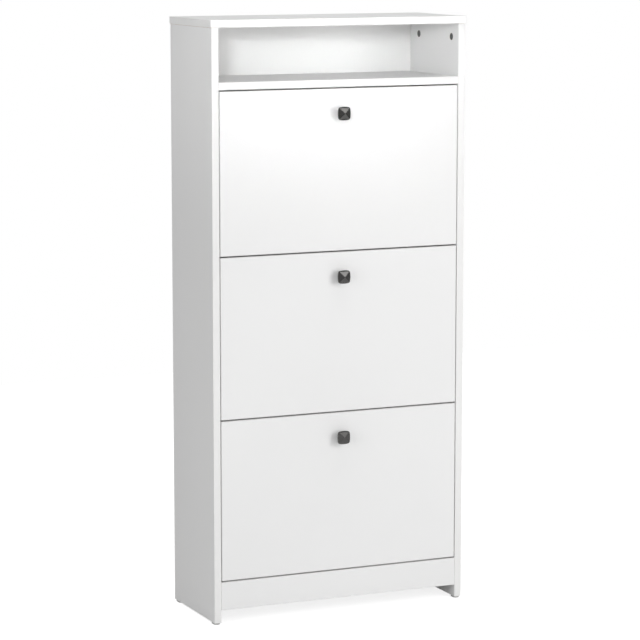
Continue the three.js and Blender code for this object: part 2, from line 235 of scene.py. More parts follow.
def mirrored(piece, name):
    """A copy on the other side of the cabinet's middle, turned right side out."""
    copy = twin(piece, name)
    copy.scale.x = -1
    settle(copy)
    bpy.ops.object.mode_set(mode="EDIT")
    bpy.ops.mesh.select_all(action="SELECT")
    bpy.ops.mesh.normals_make_consistent(inside=False)
    nothing()
    return copy


print("tools: apply_modifier, cut, fasten, twin, mirrored")


# %% [markdown]
# ## Shared surface effects
# Several finishes need the same few effects, so each effect is one node group with named sockets.
# `fine_grain` gives the tiny bumps and the slow clouding of a pressed film, a lacquer or a moulded
# part. `rubbed_edges` finds the corners, by comparing a rounded normal with the true one. `dust`
# gathers where a surface faces up and in patches. `drawn_lines` is the streaking of drawn metal.
# The groups hand out masks and heights only, and each material decides what to do with them.


# %% Node helpers
EVEN = (1.0, 1.0, 1.0)


def new_group(name, inputs, outputs):
    """An empty shader group with number sockets, and its two end nodes."""
    group = bpy.data.node_groups.new(name, "ShaderNodeTree")
    for label, value in inputs.items():
        socket = group.interface.new_socket(label, in_out="INPUT", socket_type="NodeSocketFloat")
        socket.default_value = value
    for label in outputs:
        group.interface.new_socket(label, in_out="OUTPUT", socket_type="NodeSocketFloat")
    return group, group.nodes.new("NodeGroupInput"), group.nodes.new("NodeGroupOutput")


def add(tree, kind, sockets, **settings):
    """Add a node, set its properties, and link or set its input sockets."""
    node = tree.nodes.new(kind)
    for key, value in settings.items():
        setattr(node, key, value)
    for socket, source in sockets.items():
        if isinstance(source, bpy.types.NodeSocket):
            tree.links.new(source, node.inputs[socket])
        else:
            node.inputs[socket].default_value = source
    return node


def ramp(tree, value, low=0.0, high=1.0, to_low=0.0, to_high=1.0):
    """A value taken from one range to another, clamped."""
    sockets = {"Value": value, "From Min": low, "From Max": high,
               "To Min": to_low, "To Max": to_high}
    return add(tree, "ShaderNodeMapRange", sockets).outputs["Result"]


def maths(tree, operation, *values):
    """A maths node on two or three values."""
    return add(tree, "ShaderNodeMath", dict(enumerate(values)), operation=operation).outputs[0]


def noise(tree, scale, detail, stretch=EVEN, roughness=0.55):
    """Noise on object coordinates, stretched or even."""
    where = add(tree, "ShaderNodeTexCoord", {})
    spot = add(tree, "ShaderNodeMapping", {"Vector": where.outputs["Object"], "Scale": stretch})
    sockets = {"Vector": spot.outputs["Vector"], "Scale": scale, "Detail": detail,
               "Roughness": roughness}
    return add(tree, "ShaderNodeTexNoise", sockets).outputs["Fac"]


print("node helpers: new_group, add, ramp, maths, noise")


# %% [markdown]
# ### Fine grain
# Two sizes of noise do the work of a film's texture: a fine one for the grain and a slow one for
# the clouds. The height mixes them by a share, so that one group serves both film and castings.

# %% Fine grain
def build_fine_grain():
    """Tiny bumps, slow clouds, and a height made of both."""
    group, start, end = new_group(
        "fine_grain", {"Grain Scale": 900.0, "Cloud Scale": 5.0, "Grain Share": 0.7},
        ["Grain", "Cloud", "Height"])
    grain = ramp(group, noise(group, start.outputs["Grain Scale"], detail=3.0), low=0.3, high=0.7)
    cloud = ramp(group, noise(group, start.outputs["Cloud Scale"], detail=4.0), low=0.3, high=0.7)
    share = start.outputs["Grain Share"]
    rest = maths(group, "SUBTRACT", 1.0, share)
    height = maths(group, "MULTIPLY_ADD", cloud, rest, maths(group, "MULTIPLY", grain, share))
    group.links.new(grain, end.inputs["Grain"])
    group.links.new(cloud, end.inputs["Cloud"])
    group.links.new(height, end.inputs["Height"])
    return group


fine_grain = build_fine_grain()
print("group", fine_grain.name)


# %% [markdown]
# ### Rubbed edges
# Real corners wear first. A corner is where a normal that was rounded over a small radius differs
# from the true one. A painted mask would do the same, but it would have to be redrawn per piece.

# %% Rubbed edges
def build_rubbed_edges():
    """A mask along the corners, broken up by noise."""
    group, start, end = new_group(
        "rubbed_edges", {"Width": 0.001, "Break Up": 60.0}, ["Mask"])
    rounded = add(group, "ShaderNodeBevel", {"Radius": start.outputs["Width"]}, samples=4)
    true = add(group, "ShaderNodeNewGeometry", {})
    likeness = add(group, "ShaderNodeVectorMath",
                   {0: rounded.outputs["Normal"], 1: true.outputs["Normal"]},
                   operation="DOT_PRODUCT")
    corner = ramp(group, likeness.outputs["Value"], low=0.995, high=0.85)
    patches = ramp(group, noise(group, start.outputs["Break Up"], detail=4.0), low=0.35, high=0.65)
    group.links.new(maths(group, "MULTIPLY", corner, patches), end.inputs["Mask"])
    return group


rubbed_edges = build_rubbed_edges()
print("group", rubbed_edges.name)


# %% [markdown]
# ### Dust
# Dust lies in soft patches and mostly on what faces up, so noise is weighted by the normal's z.

# %% Dust
def build_dust():
    """A mask in soft patches, more of it on what faces up."""
    group, start, end = new_group("dust", {"Patch Scale": 7.0, "Amount": 0.5}, ["Mask"])
    patch = noise(group, start.outputs["Patch Scale"], detail=6.0, roughness=0.65)
    facing = add(group, "ShaderNodeNewGeometry", {})
    parts = add(group, "ShaderNodeSeparateXYZ", {0: facing.outputs["Normal"]})
    upward = ramp(group, parts.outputs["Z"], low=0.5, to_low=0.25)
    mask = maths(group, "MULTIPLY", ramp(group, patch, low=0.42, high=0.72), upward)
    mask = maths(group, "MULTIPLY", mask, start.outputs["Amount"])
    group.links.new(mask, end.inputs["Mask"])
    return group


dust = build_dust()
print("group", dust.name)


# %% [markdown]
# ### Drawn lines
# Noise that is stretched a long way along one axis gives the streaks of drawn or brushed metal.

# %% Drawn lines
LONG = (40.0, 40.0, 1.5)


def build_drawn_lines():
    """Long thin streaks along z, for metal that was drawn, rolled or brushed."""
    group, start, end = new_group("drawn_lines", {"Line Scale": 60.0}, ["Lines"])
    streaks = noise(group, start.outputs["Line Scale"], detail=2.0, stretch=LONG)
    group.links.new(ramp(group, streaks, low=0.35, high=0.65), end.inputs["Lines"])
    return group


drawn_lines = build_drawn_lines()
print("group", drawn_lines.name)

# %% [markdown]
# ## Finishes
# A finish is a Principled shader whose plain numbers sit on its own sockets. What changes over the
# surface comes from the groups: two close tones mixed by a mask, a roughness that moves a little,
# and a bump whose depth is given in metres. A surface with no change in it looks like a toy.


# %% Finish helpers
def new_finish(name, **fixed):
    """A material with a Principled shader and its fixed numbers."""
    material = bpy.data.materials.new(name)
    material.use_nodes = True
    tree = material.node_tree
    shader = tree.nodes["Principled BSDF"]
    for label, value in fixed.items():
        shader.inputs[label.replace("_", " ")].default_value = value
    return material, tree, shader


def effect(tree, group, **values):
    """A group node with its inputs set."""
    node = tree.nodes.new("ShaderNodeGroup")
    node.node_tree = group
    for label, value in values.items():
        node.inputs[label.replace("_", " ")].default_value = value
    return node


def blend(tree, mask, first, second):
    """One colour mixed into another by a mask. Either may come from another mix."""
    mix = tree.nodes.new("ShaderNodeMix")
    mix.data_type = "RGBA"
    tree.links.new(mask, mix.inputs[0])
    for socket, colour in ((mix.inputs[6], first), (mix.inputs[7], second)):
        if isinstance(colour, bpy.types.NodeSocket):
            tree.links.new(colour, socket)
        else:
            socket.default_value = (*colour, 1.0)
    return mix.outputs[2]


def dress(tree, shader, colour, rough, height, depth):
    """Link colour, roughness and a bump of a real depth in metres to the shader."""
    bump = add(tree, "ShaderNodeBump", {"Height": height, "Distance": depth, "Strength": 1.0})
    tree.links.new(colour, shader.inputs["Base Color"])
    tree.links.new(rough, shader.inputs["Roughness"])
    tree.links.new(bump.outputs["Normal"], shader.inputs["Normal"])


print("finish helpers: new_finish, effect, blend, dress")


# %% [markdown]
# ### White film
# The boards are chipboard under a white melamine film. Pressed against a fine plate, the film has
# a shallow satin texture. It is never quite even: it clouds a little, takes on dust where it faces
# up, and turns a little greyer where its corners are rubbed. The bump is a few hundredths of a
# millimetre.


# %% White film
def build_white_film():
    """Melamine film on the broad faces of the boards."""
    material, tree, shader = new_finish("white_film", IOR=1.5, Specular_IOR_Level=0.35)
    grain = effect(tree, fine_grain, Grain_Scale=650.0, Cloud_Scale=3.0, Grain_Share=0.8)
    edges = effect(tree, rubbed_edges, Width=0.0012, Break_Up=45.0)
    film = effect(tree, dust, Patch_Scale=6.0, Amount=0.35)
    colour = blend(tree, grain.outputs["Cloud"], (0.875, 0.875, 0.873), (0.9, 0.9, 0.898))
    colour = blend(tree, film.outputs["Mask"], colour, (0.82, 0.815, 0.8))
    colour = blend(tree, edges.outputs["Mask"], colour, (0.84, 0.83, 0.81))
    rough = ramp(tree, grain.outputs["Height"], to_low=0.38, to_high=0.5)
    dress(tree, shader, colour, rough, grain.outputs["Height"], depth=0.05 * MM)
    return material


white_film = build_white_film()
print("finish", white_film.name)

# %% [markdown]
# ### Edge band
# The visible narrow edges carry a strip of plastic, ironed on and trimmed. It is a touch warmer
# and smoother than the film, and its trimmed corners catch dirt first.


# %% Edge band
def build_edge_band():
    """Plastic strip on the narrow edges."""
    material, tree, shader = new_finish("edge_band", IOR=1.5, Specular_IOR_Level=0.45)
    grain = effect(tree, fine_grain, Grain_Scale=420.0, Cloud_Scale=9.0, Grain_Share=0.5)
    edges = effect(tree, rubbed_edges, Width=0.0010, Break_Up=80.0)
    colour = blend(tree, grain.outputs["Cloud"], (0.875, 0.873, 0.866), (0.9, 0.898, 0.89))
    colour = blend(tree, edges.outputs["Mask"], colour, (0.76, 0.745, 0.72))
    rough = ramp(tree, grain.outputs["Grain"], to_low=0.3, to_high=0.42)
    dress(tree, shader, colour, rough, grain.outputs["Height"], depth=0.02 * MM)
    return material


edge_band = build_edge_band()
print("finish", edge_band.name)

# %% [markdown]
# ### Raw chipboard
# Drilled holes and hidden edges show the core: pressed chips of wood, a few millimetres long, pale
# with darker bark among them. A cell pattern gives the chips, and noise breaks each one up.


# %% Raw chipboard
def build_raw_chips():
    """Bare core of a board."""
    material, tree, shader = new_finish("raw_chips", Specular_IOR_Level=0.2)
    grain = effect(tree, fine_grain, Grain_Scale=500.0, Cloud_Scale=90.0, Grain_Share=0.4)
    where = add(tree, "ShaderNodeTexCoord", {})
    spot = add(tree, "ShaderNodeMapping",
               {"Vector": where.outputs["Object"], "Scale": (1.0, 0.5, 0.8)})
    chips = add(tree, "ShaderNodeTexVoronoi", {"Vector": spot.outputs["Vector"], "Scale": 420.0})
    parts = add(tree, "ShaderNodeSeparateColor", {0: chips.outputs["Color"]})
    colour = blend(tree, parts.outputs[0], (0.36, 0.24, 0.13), (0.62, 0.46, 0.28))
    colour = blend(tree, grain.outputs["Cloud"], colour, (0.5, 0.36, 0.21))
    rough = ramp(tree, parts.outputs[1], to_low=0.75, to_high=0.95)
    height = maths(tree, "MULTIPLY_ADD", parts.outputs[2], 0.6, grain.outputs["Height"])
    dress(tree, shader, colour, rough, height, depth=0.2 * MM)
    return material


raw_chips = build_raw_chips()
print("finish", raw_chips.name)

# %% [markdown]
# ### Back sheet
# The back is a thin hardboard, lacquered white on the side that faces the niche. Behind it stays
# brown, with the woven print of the wire screen that it was pressed on and a felt of fibres.


# %% Hardboard, back and front
def build_brown_hardboard():
    """Bare rear of the back sheet."""
    material, tree, shader = new_finish("brown_hardboard", Specular_IOR_Level=0.2)
    grain = effect(tree, fine_grain, Grain_Scale=700.0, Cloud_Scale=12.0, Grain_Share=0.5)
    felt = noise(tree, scale=9.0, detail=5.0, stretch=(30.0, 1.0, 160.0))
    fibres = ramp(tree, felt, low=0.35, high=0.65)
    where = add(tree, "ShaderNodeTexCoord", {})
    screen = {"Vector": where.outputs["Object"], "Scale": 150.0, "Distortion": 0.4}
    across = add(tree, "ShaderNodeTexWave", screen, bands_direction="X")
    along = add(tree, "ShaderNodeTexWave", screen, bands_direction="Z")
    weave = maths(tree, "MULTIPLY", across.outputs["Fac"], along.outputs["Fac"])
    colour = blend(tree, fibres, (0.36, 0.225, 0.12), (0.52, 0.35, 0.2))
    cloudy = maths(tree, "MULTIPLY", grain.outputs["Cloud"], 0.6)
    colour = blend(tree, cloudy, colour, (0.42, 0.27, 0.15))
    rough = ramp(tree, grain.outputs["Grain"], to_low=0.7, to_high=0.88)
    height = maths(tree, "MULTIPLY_ADD", weave, 0.7, grain.outputs["Height"])
    dress(tree, shader, colour, rough, height, depth=0.12 * MM)
    return material


def build_white_lacquer():
    """Lacquered front of the back sheet."""
    material, tree, shader = new_finish("white_lacquer", Specular_IOR_Level=0.3)
    grain = effect(tree, fine_grain, Grain_Scale=380.0, Cloud_Scale=4.0, Grain_Share=0.6)
    film = effect(tree, dust, Patch_Scale=5.0, Amount=0.3)
    colour = blend(tree, grain.outputs["Cloud"], (0.89, 0.89, 0.885), (0.915, 0.915, 0.91))
    colour = blend(tree, film.outputs["Mask"], colour, (0.84, 0.835, 0.82))
    rough = ramp(tree, grain.outputs["Height"], to_low=0.5, to_high=0.64)
    dress(tree, shader, colour, rough, grain.outputs["Height"], depth=0.05 * MM)
    return material


brown_hardboard = build_brown_hardboard()
white_lacquer = build_white_lacquer()
print("finishes", brown_hardboard.name, white_lacquer.name)

# %% [markdown]
# ### Metals
# The knobs are cast zinc, polished and plated a dark gunmetal that wears lighter at the ridges.
# The cams are raw zinc, dull and mottled. Pins, pegs and screws are bright steel with the lines of
# the drawing bench. All three are one recipe with different tones, so one function makes them.


# %% Metals
def build_metal(name, dark, light, worn, smoothest, roughest, depth, lines):
    """A metal of two tones, with streaks, and lighter where it is rubbed."""
    material, tree, shader = new_finish(name, Metallic=1.0)
    grain = effect(tree, fine_grain, Grain_Scale=1400.0, Cloud_Scale=70.0, Grain_Share=0.5)
    edges = effect(tree, rubbed_edges, Width=0.0005, Break_Up=300.0)
    streaks = effect(tree, drawn_lines, Line_Scale=lines)
    tones = maths(tree, "MULTIPLY_ADD", streaks.outputs["Lines"], 0.5,
                  maths(tree, "MULTIPLY", grain.outputs["Cloud"], 0.5))
    colour = blend(tree, tones, dark, light)
    colour = blend(tree, edges.outputs["Mask"], colour, worn)
    rough = ramp(tree, tones, to_low=smoothest, to_high=roughest)
    dress(tree, shader, colour, rough, grain.outputs["Height"], depth)
    return material


gunmetal = build_metal(
    "gunmetal", dark=(0.145, 0.142, 0.138), light=(0.175, 0.172, 0.167),
    worn=(0.36, 0.355, 0.345), smoothest=0.2, roughest=0.28, depth=0.004 * MM, lines=40.0)
cast_zinc = build_metal(
    "cast_zinc", dark=(0.13, 0.13, 0.128), light=(0.21, 0.208, 0.203),
    worn=(0.45, 0.45, 0.44), smoothest=0.34, roughest=0.5, depth=0.02 * MM, lines=25.0)
drawn_steel = build_metal(
    "drawn_steel", dark=(0.5, 0.51, 0.52), light=(0.62, 0.63, 0.64),
    worn=(0.75, 0.75, 0.75), smoothest=0.22, roughest=0.36, depth=0.006 * MM, lines=90.0)
print("metals", gunmetal.name, cast_zinc.name, drawn_steel.name)

# %% [markdown]
# ### Moulded plastic
# The bushes are white nylon and the glides a greyer, harder plastic. Both have the slightly matt
# skin of a spark-eroded mould and are scuffed where they rub.


# %% Plastics
def build_plastic(name, first, second, scuffed, roughest):
    """Moulded plastic with a fine skin and scuffed corners."""
    material, tree, shader = new_finish(name, IOR=1.46)
    grain = effect(tree, fine_grain, Grain_Scale=1100.0, Cloud_Scale=60.0, Grain_Share=0.7)
    edges = effect(tree, rubbed_edges, Width=0.0006, Break_Up=200.0)
    colour = blend(tree, grain.outputs["Cloud"], first, second)
    colour = blend(tree, edges.outputs["Mask"], colour, scuffed)
    rough = ramp(tree, grain.outputs["Height"], to_low=0.35, to_high=roughest)
    dress(tree, shader, colour, rough, grain.outputs["Height"], depth=0.03 * MM)
    return material


white_nylon = build_plastic(
    "white_nylon", first=(0.74, 0.74, 0.71), second=(0.79, 0.79, 0.76),
    scuffed=(0.62, 0.61, 0.58), roughest=0.5)
grey_plastic = build_plastic(
    "grey_plastic", first=(0.56, 0.56, 0.55), second=(0.62, 0.62, 0.61),
    scuffed=(0.42, 0.41, 0.4), roughest=0.6)
print("plastics", white_nylon.name, grey_plastic.name)

# %% [markdown]
# ## Boards
# A flat-pack board is sawn, edged and drilled, and so is this one. The cube becomes a board in three
# steps. Cuts close to the narrow edges part off the strip where the edge band shows. The remaining
# narrow faces stay raw. Then all corners are rounded by half a millimetre, because a perfectly
# sharp corner never catches the light.

# %% The board maker
BAND = 0.8 * MM
CORNER = 0.5 * MM
DIRECTIONS = {
    "left": Vector((-1, 0, 0)), "right": Vector((1, 0, 0)),
    "front": Vector((0, -1, 0)), "rear": Vector((0, 1, 0)),
    "down": Vector((0, 0, -1)), "up": Vector((0, 0, 1)),
}


BANDING = 1
CHIPS = 2


def paint(piece, test, number):
    """Give the faces that pass a test a material slot of the piece."""
    pick(piece, "FACE", test)
    piece.active_material_index = number
    bpy.ops.object.material_slot_assign()


def board(name, low, high, banded, corner=CORNER):
    """A faced board between two corners, with a band on the named narrow edges."""
    piece = block(name, low, high)
    for material in (white_film, edge_band, raw_chips):
        piece.data.materials.append(material)
    size = Vector(high) - Vector(low)
    thin = min(range(3), key=lambda axis: size[axis])
    paint(piece, lambda face: abs(face.normal[thin]) < 0.5, CHIPS)
    for word in banded:
        way = DIRECTIONS[word]
        edge = max(Vector(low).dot(way), Vector(high).dot(way))
        bpy.ops.mesh.select_all(action="SELECT")
        bpy.ops.mesh.bisect(plane_co=way * (edge - BAND), plane_no=way)
        paint(piece, lambda face: centre(face).dot(way) > edge - BAND, BANDING)
    pick(piece, "EDGE", sharp)
    bpy.ops.mesh.bevel(offset=corner, segments=2, profile=0.5)
    nothing()
    return piece


def drill(piece, place, radius, depth, axis, sides=40):
    """Bore a hole whose wall shows the chips. The depth is the cutter's whole length."""
    cutter = rod("drill", place, radius, depth, axis, sides)
    cutter.data.materials.append(raw_chips)
    cut(piece, cutter)


print("board maker: paint, board, drill")


# %% [markdown]
# ## Carcass
# Two side panels, a top, a niche floor, a plinth and three rear rails make the frame. The top lies
# over the side panels and stands out a little. The side panels are drilled for the cams and their
# bolts, the pivot bushes, the stop pegs and the glides, each a hair wider than what goes in.

# %% Top, niche floor, plinth and rails
ALL_ROUND = ["left", "right", "front"]
ENDS_AND_EDGES = ["left", "right", "down", "up"]
PLAY = 0.3 * MM
OVERSHOOT = 1 * MM
TOP_CORNER = 0.8 * MM

top_board = board("top_board", *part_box("top_panel"), ALL_ROUND, TOP_CORNER)
niche_floor = board("niche_floor", *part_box("niche_shelf"), ALL_ROUND)
plinth_board = board("plinth_board", *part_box("plinth"), ENDS_AND_EDGES)
rails = {}
for place_name in ("low", "under_middle_flap", "under_top_flap"):
    node = f"rear_rail_{place_name}"
    rails[node] = board(f"rail_{place_name}", *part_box(node), ENDS_AND_EDGES)
print("boards", top_board.name, niche_floor.name, plinth_board.name, len(rails), "rails")


# %% [markdown]
# ### Side panels
# Only the right one is built. It gets two holes for the cams, and two small ones that lead the
# bolts in from its upper end, then three for the bushes and three for the stop pegs, and two in
# its lower end for the studs of the glides. The left one is its mirrored copy.

# %% Side panels
FINE_SIDES = 20
STUD_BORE = 1.9 * MM
BUSH_BORE = 4.3 * MM


def middle_of(node):
    """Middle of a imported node's box."""
    low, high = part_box(node)
    return (low + high) / 2


panel_low, panel_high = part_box("side_panel_right")
inner_face = panel_low.x
side_right = board("side_board_right", panel_low, panel_high, ["front", "down"])

for end in ("front", "rear"):
    cam_low, cam_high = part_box(f"cam_{end}_right")
    cam_place = (cam_low + cam_high) / 2
    cam_radius = (cam_high.z - cam_low.z) / 2
    drill(side_right, cam_place, cam_radius + PLAY, cam_high.x - cam_low.x + PLAY * 2, "X")
    bolt_low, bolt_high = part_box(f"cam_bolt_{end}_right")
    bolt_place = (bolt_low + bolt_high) / 2
    bolt_bore = (bolt_high.x - bolt_low.x) / 2 + PLAY
    bolt_length = bolt_high.z - bolt_low.z
    drill(side_right, bolt_place, bolt_bore, bolt_length, "Z", FINE_SIDES)
    for way in (1, -1):
        place = (way * bolt_place.x, bolt_place.y, bolt_place.z)
        drill(top_board, place, bolt_bore, bolt_length + PLAY * 2, "Z", FINE_SIDES)
    glide_low, glide_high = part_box(f"glide_{end}_right")
    stud_place = (glide_low + glide_high) / 2
    drill(side_right, stud_place, STUD_BORE, glide_high.z - glide_low.z + PLAY * 2, "Z",
          FINE_SIDES)

for flap in FLAPS:
    bush_low, bush_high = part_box(f"pivot_bush_{flap}_right")
    bore_place = (bush_low + bush_high) / 2
    drill(side_right, bore_place, BUSH_BORE, bush_high.x - bush_low.x + PLAY * 2, "X")
    peg_low, peg_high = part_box(f"stop_peg_{flap}_right")
    peg_place = (peg_low + peg_high) / 2
    drill(side_right, peg_place, (peg_high.z - peg_low.z) / 2 + PLAY,
          peg_high.x - peg_low.x + PLAY * 2, "X")

side_left = mirrored(side_right, "side_board_left")
print("side panel", len(side_right.data.polygons), "faces, inner face at x =", inner_face)

# %% [markdown]
# ## Back sheet
# The sheet comes folded in half in the box and is nailed on flat. The fold stays visible as a fine
# line across the middle. Nails sit along the edges and the rails, each in a shallow dimple that the
# hammer left, so that nothing stands out behind. The front of the sheet is lacquered white.

# %% Sheet with its fold and dimples
NAIL_HEAD = 2.4 * MM
DIMPLE = 3.6 * MM
DIMPLE_DEPTH = 0.35 * MM
NAIL_MARGIN = 7.5 * MM
NAILS_UP = 13
NAILS_ACROSS = 6
SHEET_CORNER = 0.3 * MM
FOLD_RADIUS = 1.3 * MM
FOLD_LIFT = 0.3 * MM
FOLD_LENGTH = 0.7
LACQUERED = 1

sheet_low, sheet_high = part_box("back_sheet")
rear_face = sheet_high.y
back_board = block("back_board", sheet_low, sheet_high)
for material in (brown_hardboard, white_lacquer):
    back_board.data.materials.append(material)
paint(back_board, lambda face: face.normal.y < -0.5, LACQUERED)
pick(back_board, "EDGE", sharp)
bpy.ops.mesh.bevel(offset=SHEET_CORNER, segments=2)
nothing()

fold_height = (sheet_low.z + sheet_high.z) / 2
fold = rod("fold", (0, rear_face + FOLD_LIFT, fold_height), FOLD_RADIUS, FOLD_LENGTH, "X", 16)
fold.data.materials.append(brown_hardboard)
cut(back_board, fold)

nail_places = []
for number in range(NAILS_UP):
    share = number / (NAILS_UP - 1)
    height = sheet_low.z + NAIL_MARGIN * 2 + share * (sheet_high.z - sheet_low.z - NAIL_MARGIN * 3)
    for side in (-1, 1):
        nail_places.append((side * (sheet_high.x - NAIL_MARGIN), height))
nail_rows = [middle_of(node).z for node in rails]
nail_rows += [middle_of("niche_shelf").z, sheet_high.z - NAIL_MARGIN * 0.6]
for height in nail_rows:
    for number in range(1, NAILS_ACROSS):
        share = number / NAILS_ACROSS - 0.5
        nail_places.append((share * (sheet_high.x - sheet_low.x), height))
print("nails", len(nail_places))


# %% [markdown]
# ### Dimples and nails
# A dimple is a shallow round tool with sloping sides. It is copied to every nail's place, joined
# into one cutter and taken away from the sheet. A nail's head is a disc with a slightly hollow
# face. The heads are one piece, because they never move apart.

# %% Dimples and nails
DIMPLE_TAPER = 0.72
HEAD_THICKNESS = 0.5 * MM
HEAD_SINK = 0.05 * MM
HEAD_RIM = 0.5 * MM
HEAD_HOLLOW = 0.12 * MM
HEAD_CORNER = 0.1 * MM


def joined(pieces):
    """Join pieces into the first of them."""
    nothing()
    for piece in pieces:
        piece.select_set(True)
    bpy.context.view_layer.objects.active = pieces[0]
    bpy.ops.object.join()
    return pieces[0]


first_dimple = rod("dimple", (0, rear_face, 0), DIMPLE, 2 * DIMPLE_DEPTH, "Y", 20)
pick(first_dimple, "FACE", lambda face: face.normal.y < -0.5)
bpy.ops.transform.resize(
    value=(DIMPLE_TAPER, 1, DIMPLE_TAPER), center_override=(0, rear_face, 0))
nothing()
first_dimple.data.materials.append(brown_hardboard)
dimples = [twin(first_dimple, "dimple", (x, 0, z)) for x, z in nail_places]
bpy.data.objects.remove(first_dimple)
cut(back_board, joined(dimples))

head_centre = rear_face - HEAD_SINK - HEAD_THICKNESS / 2
first_nail = rod("nail", (0, head_centre, 0), NAIL_HEAD, HEAD_THICKNESS, "Y", 16)
pick(first_nail, "FACE", lambda face: face.normal.y > 0.5)
bpy.ops.mesh.inset(thickness=HEAD_RIM, depth=0)
bpy.ops.mesh.inset(thickness=HEAD_RIM, depth=-HEAD_HOLLOW)
pick(first_nail, "EDGE", lambda edge: sharp(edge) and centre(edge).y > head_centre)
bpy.ops.mesh.bevel(offset=HEAD_CORNER, segments=2)
nothing()
first_nail.data.materials.append(drawn_steel)
back_nails = joined([twin(first_nail, "back_nails", (x, 0, z)) for x, z in nail_places])
bpy.data.objects.remove(first_nail)
print("back sheet", len(back_board.data.polygons), "faces")

# %% [markdown]
# ## Cams
# A cam is a round zinc casting that turns in its hole and pulls the bolt of the next board tight.
# What shows is its face: a raised rim, a sunken disc and a cross for the screwdriver. One is made
# in the right side panel. The others are copies, and the left ones are mirrored. More of them hold
# the niche floor from below and the plinth from behind, so those boards are drilled too.


# %% One cam
RIM_SHARE = 0.14
STEP_SHARE = 0.04
SINK_SHARE = 0.07
ARM_SHARE = 0.53
ARM_THICKNESS_SHARE = 0.095
SLOT_DEPTH_SHARE = 0.22
ARROW_AT_SHARE = 0.68
ARROW_SIZE_SHARE = 0.13
CAM_CORNER = 0.2 * MM


def cam_at(name, place, radius, length):
    """A cam whose face looks to -x. Its place is the middle of its body."""
    face_x = place.x - length / 2
    piece = rod(name, place, radius, length, "X", 48)
    pick(piece, "FACE", lambda face: face.normal.x < -0.5)
    bpy.ops.mesh.inset(thickness=RIM_SHARE * radius, depth=0)
    bpy.ops.mesh.inset(thickness=STEP_SHARE * radius, depth=-SINK_SHARE * radius)
    pick(piece, "EDGE", lambda edge: sharp(edge) and near(centre(edge).x, face_x, slack=2 * CAM_CORNER))
    bpy.ops.mesh.bevel(offset=CAM_CORNER, segments=2)
    nothing()
    arm = ARM_SHARE * radius
    thick = ARM_THICKNESS_SHARE * radius
    for across, upright in ((arm, thick), (thick, arm)):
        low = (face_x - OVERSHOOT, place.y - across, place.z - upright)
        high = (face_x + SLOT_DEPTH_SHARE * radius, place.y + across, place.z + upright)
        cut(piece, block("slot", low, high))
    arrow = rod("arrow", (face_x, place.y, place.z + ARROW_AT_SHARE * radius),
                ARROW_SIZE_SHARE * radius, 0.5 * radius, "X", 3)
    cut(piece, arrow)
    piece.data.materials.clear()
    piece.data.materials.append(cast_zinc)
    return piece


cam_low, cam_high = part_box("cam_front_right")
cam_place = (cam_low + cam_high) / 2
cam_radius = (cam_high.z - cam_low.z) / 2
cam_length = cam_high.x - cam_low.x
cams = {"cam_front_right": cam_at("cam_disc_front_right", cam_place, cam_radius, cam_length)}
rearward = middle_of("cam_rear_right") - cam_place
cams["cam_rear_right"] = twin(cams["cam_front_right"], "cam_disc_rear_right", rearward)
for end in ("front", "rear"):
    cams[f"cam_{end}_left"] = mirrored(cams[f"cam_{end}_right"], f"cam_disc_{end}_left")
print("cams", len(cams), "of radius", round(cam_radius / MM, 2), "mm")

# %% [markdown]
# ### Cams that hold the niche floor and the plinth
# These don't show from the front. One spare cam is made with its face at x = 0, and each copy of
# it is turned to look down from under the niche floor, or backwards from behind the plinth.

# %% Cams under the niche floor and behind the plinth
CAM_FROM_END = 30 * MM
turned_cam = cam_at("turned_cam", Vector((cam_length / 2, 0, 0)), cam_radius, cam_length)
extra_cams = []


def set_cam(name, turn, place, host):
    """Turn a cam whose face is at x = 0, put it in a board, and drill the board for it."""
    copy = twin(turned_cam, name)
    copy.rotation_euler = turn
    copy.location = place
    settle(copy)
    extra_cams.append(copy)
    axis = "Z" if turn[1] else "Y"
    low = Vector([min(corner[i] for corner in copy.bound_box) for i in range(3)])
    high = Vector([max(corner[i] for corner in copy.bound_box) for i in range(3)])
    depth = cam_length + 2 * PLAY
    drill(host, (low + high) / 2, cam_radius + PLAY, depth, axis)


shelf_low, shelf_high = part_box("niche_shelf")
plinth_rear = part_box("plinth")[1].y
for side_name, side in (("left", -1), ("right", 1)):
    beside = side * (shelf_high.x - CAM_FROM_END)
    for end in ("front", "rear"):
        along = middle_of(f"cam_{end}_right").y
        set_cam(f"floor_cam_{end}_{side_name}", (0, -math.pi / 2, 0),
                (beside, along, shelf_low.z), niche_floor)
    set_cam(f"plinth_cam_{side_name}", (0, 0, -math.pi / 2),
            (beside, plinth_rear, middle_of("plinth").z), plinth_board)
bpy.data.objects.remove(turned_cam)
print("extra cams", len(extra_cams))

# %% [markdown]
# ## Pivot bushes, stop pegs and glides
# Each flap turns on two steel pins in nylon bushes, and a steel peg on each side stops it. A bush
# is turned in one go: a flange, pushed on into a sleeve, with a bore pushed back into it. The
# glides under the side panels are oblong pads with a stud, so that the wood never touches the wet
# floor. All are made once on the right, copied up by the height of a flap, and mirrored.


# %% Bush
FLANGE = 1.0 * MM
FLANGE_WIDTH = 2.5 * MM
BUSH_BORE_RADIUS = 2.6 * MM
BUSH_FLOOR = 1.5 * MM
BUSH_CORNER = 0.2 * MM


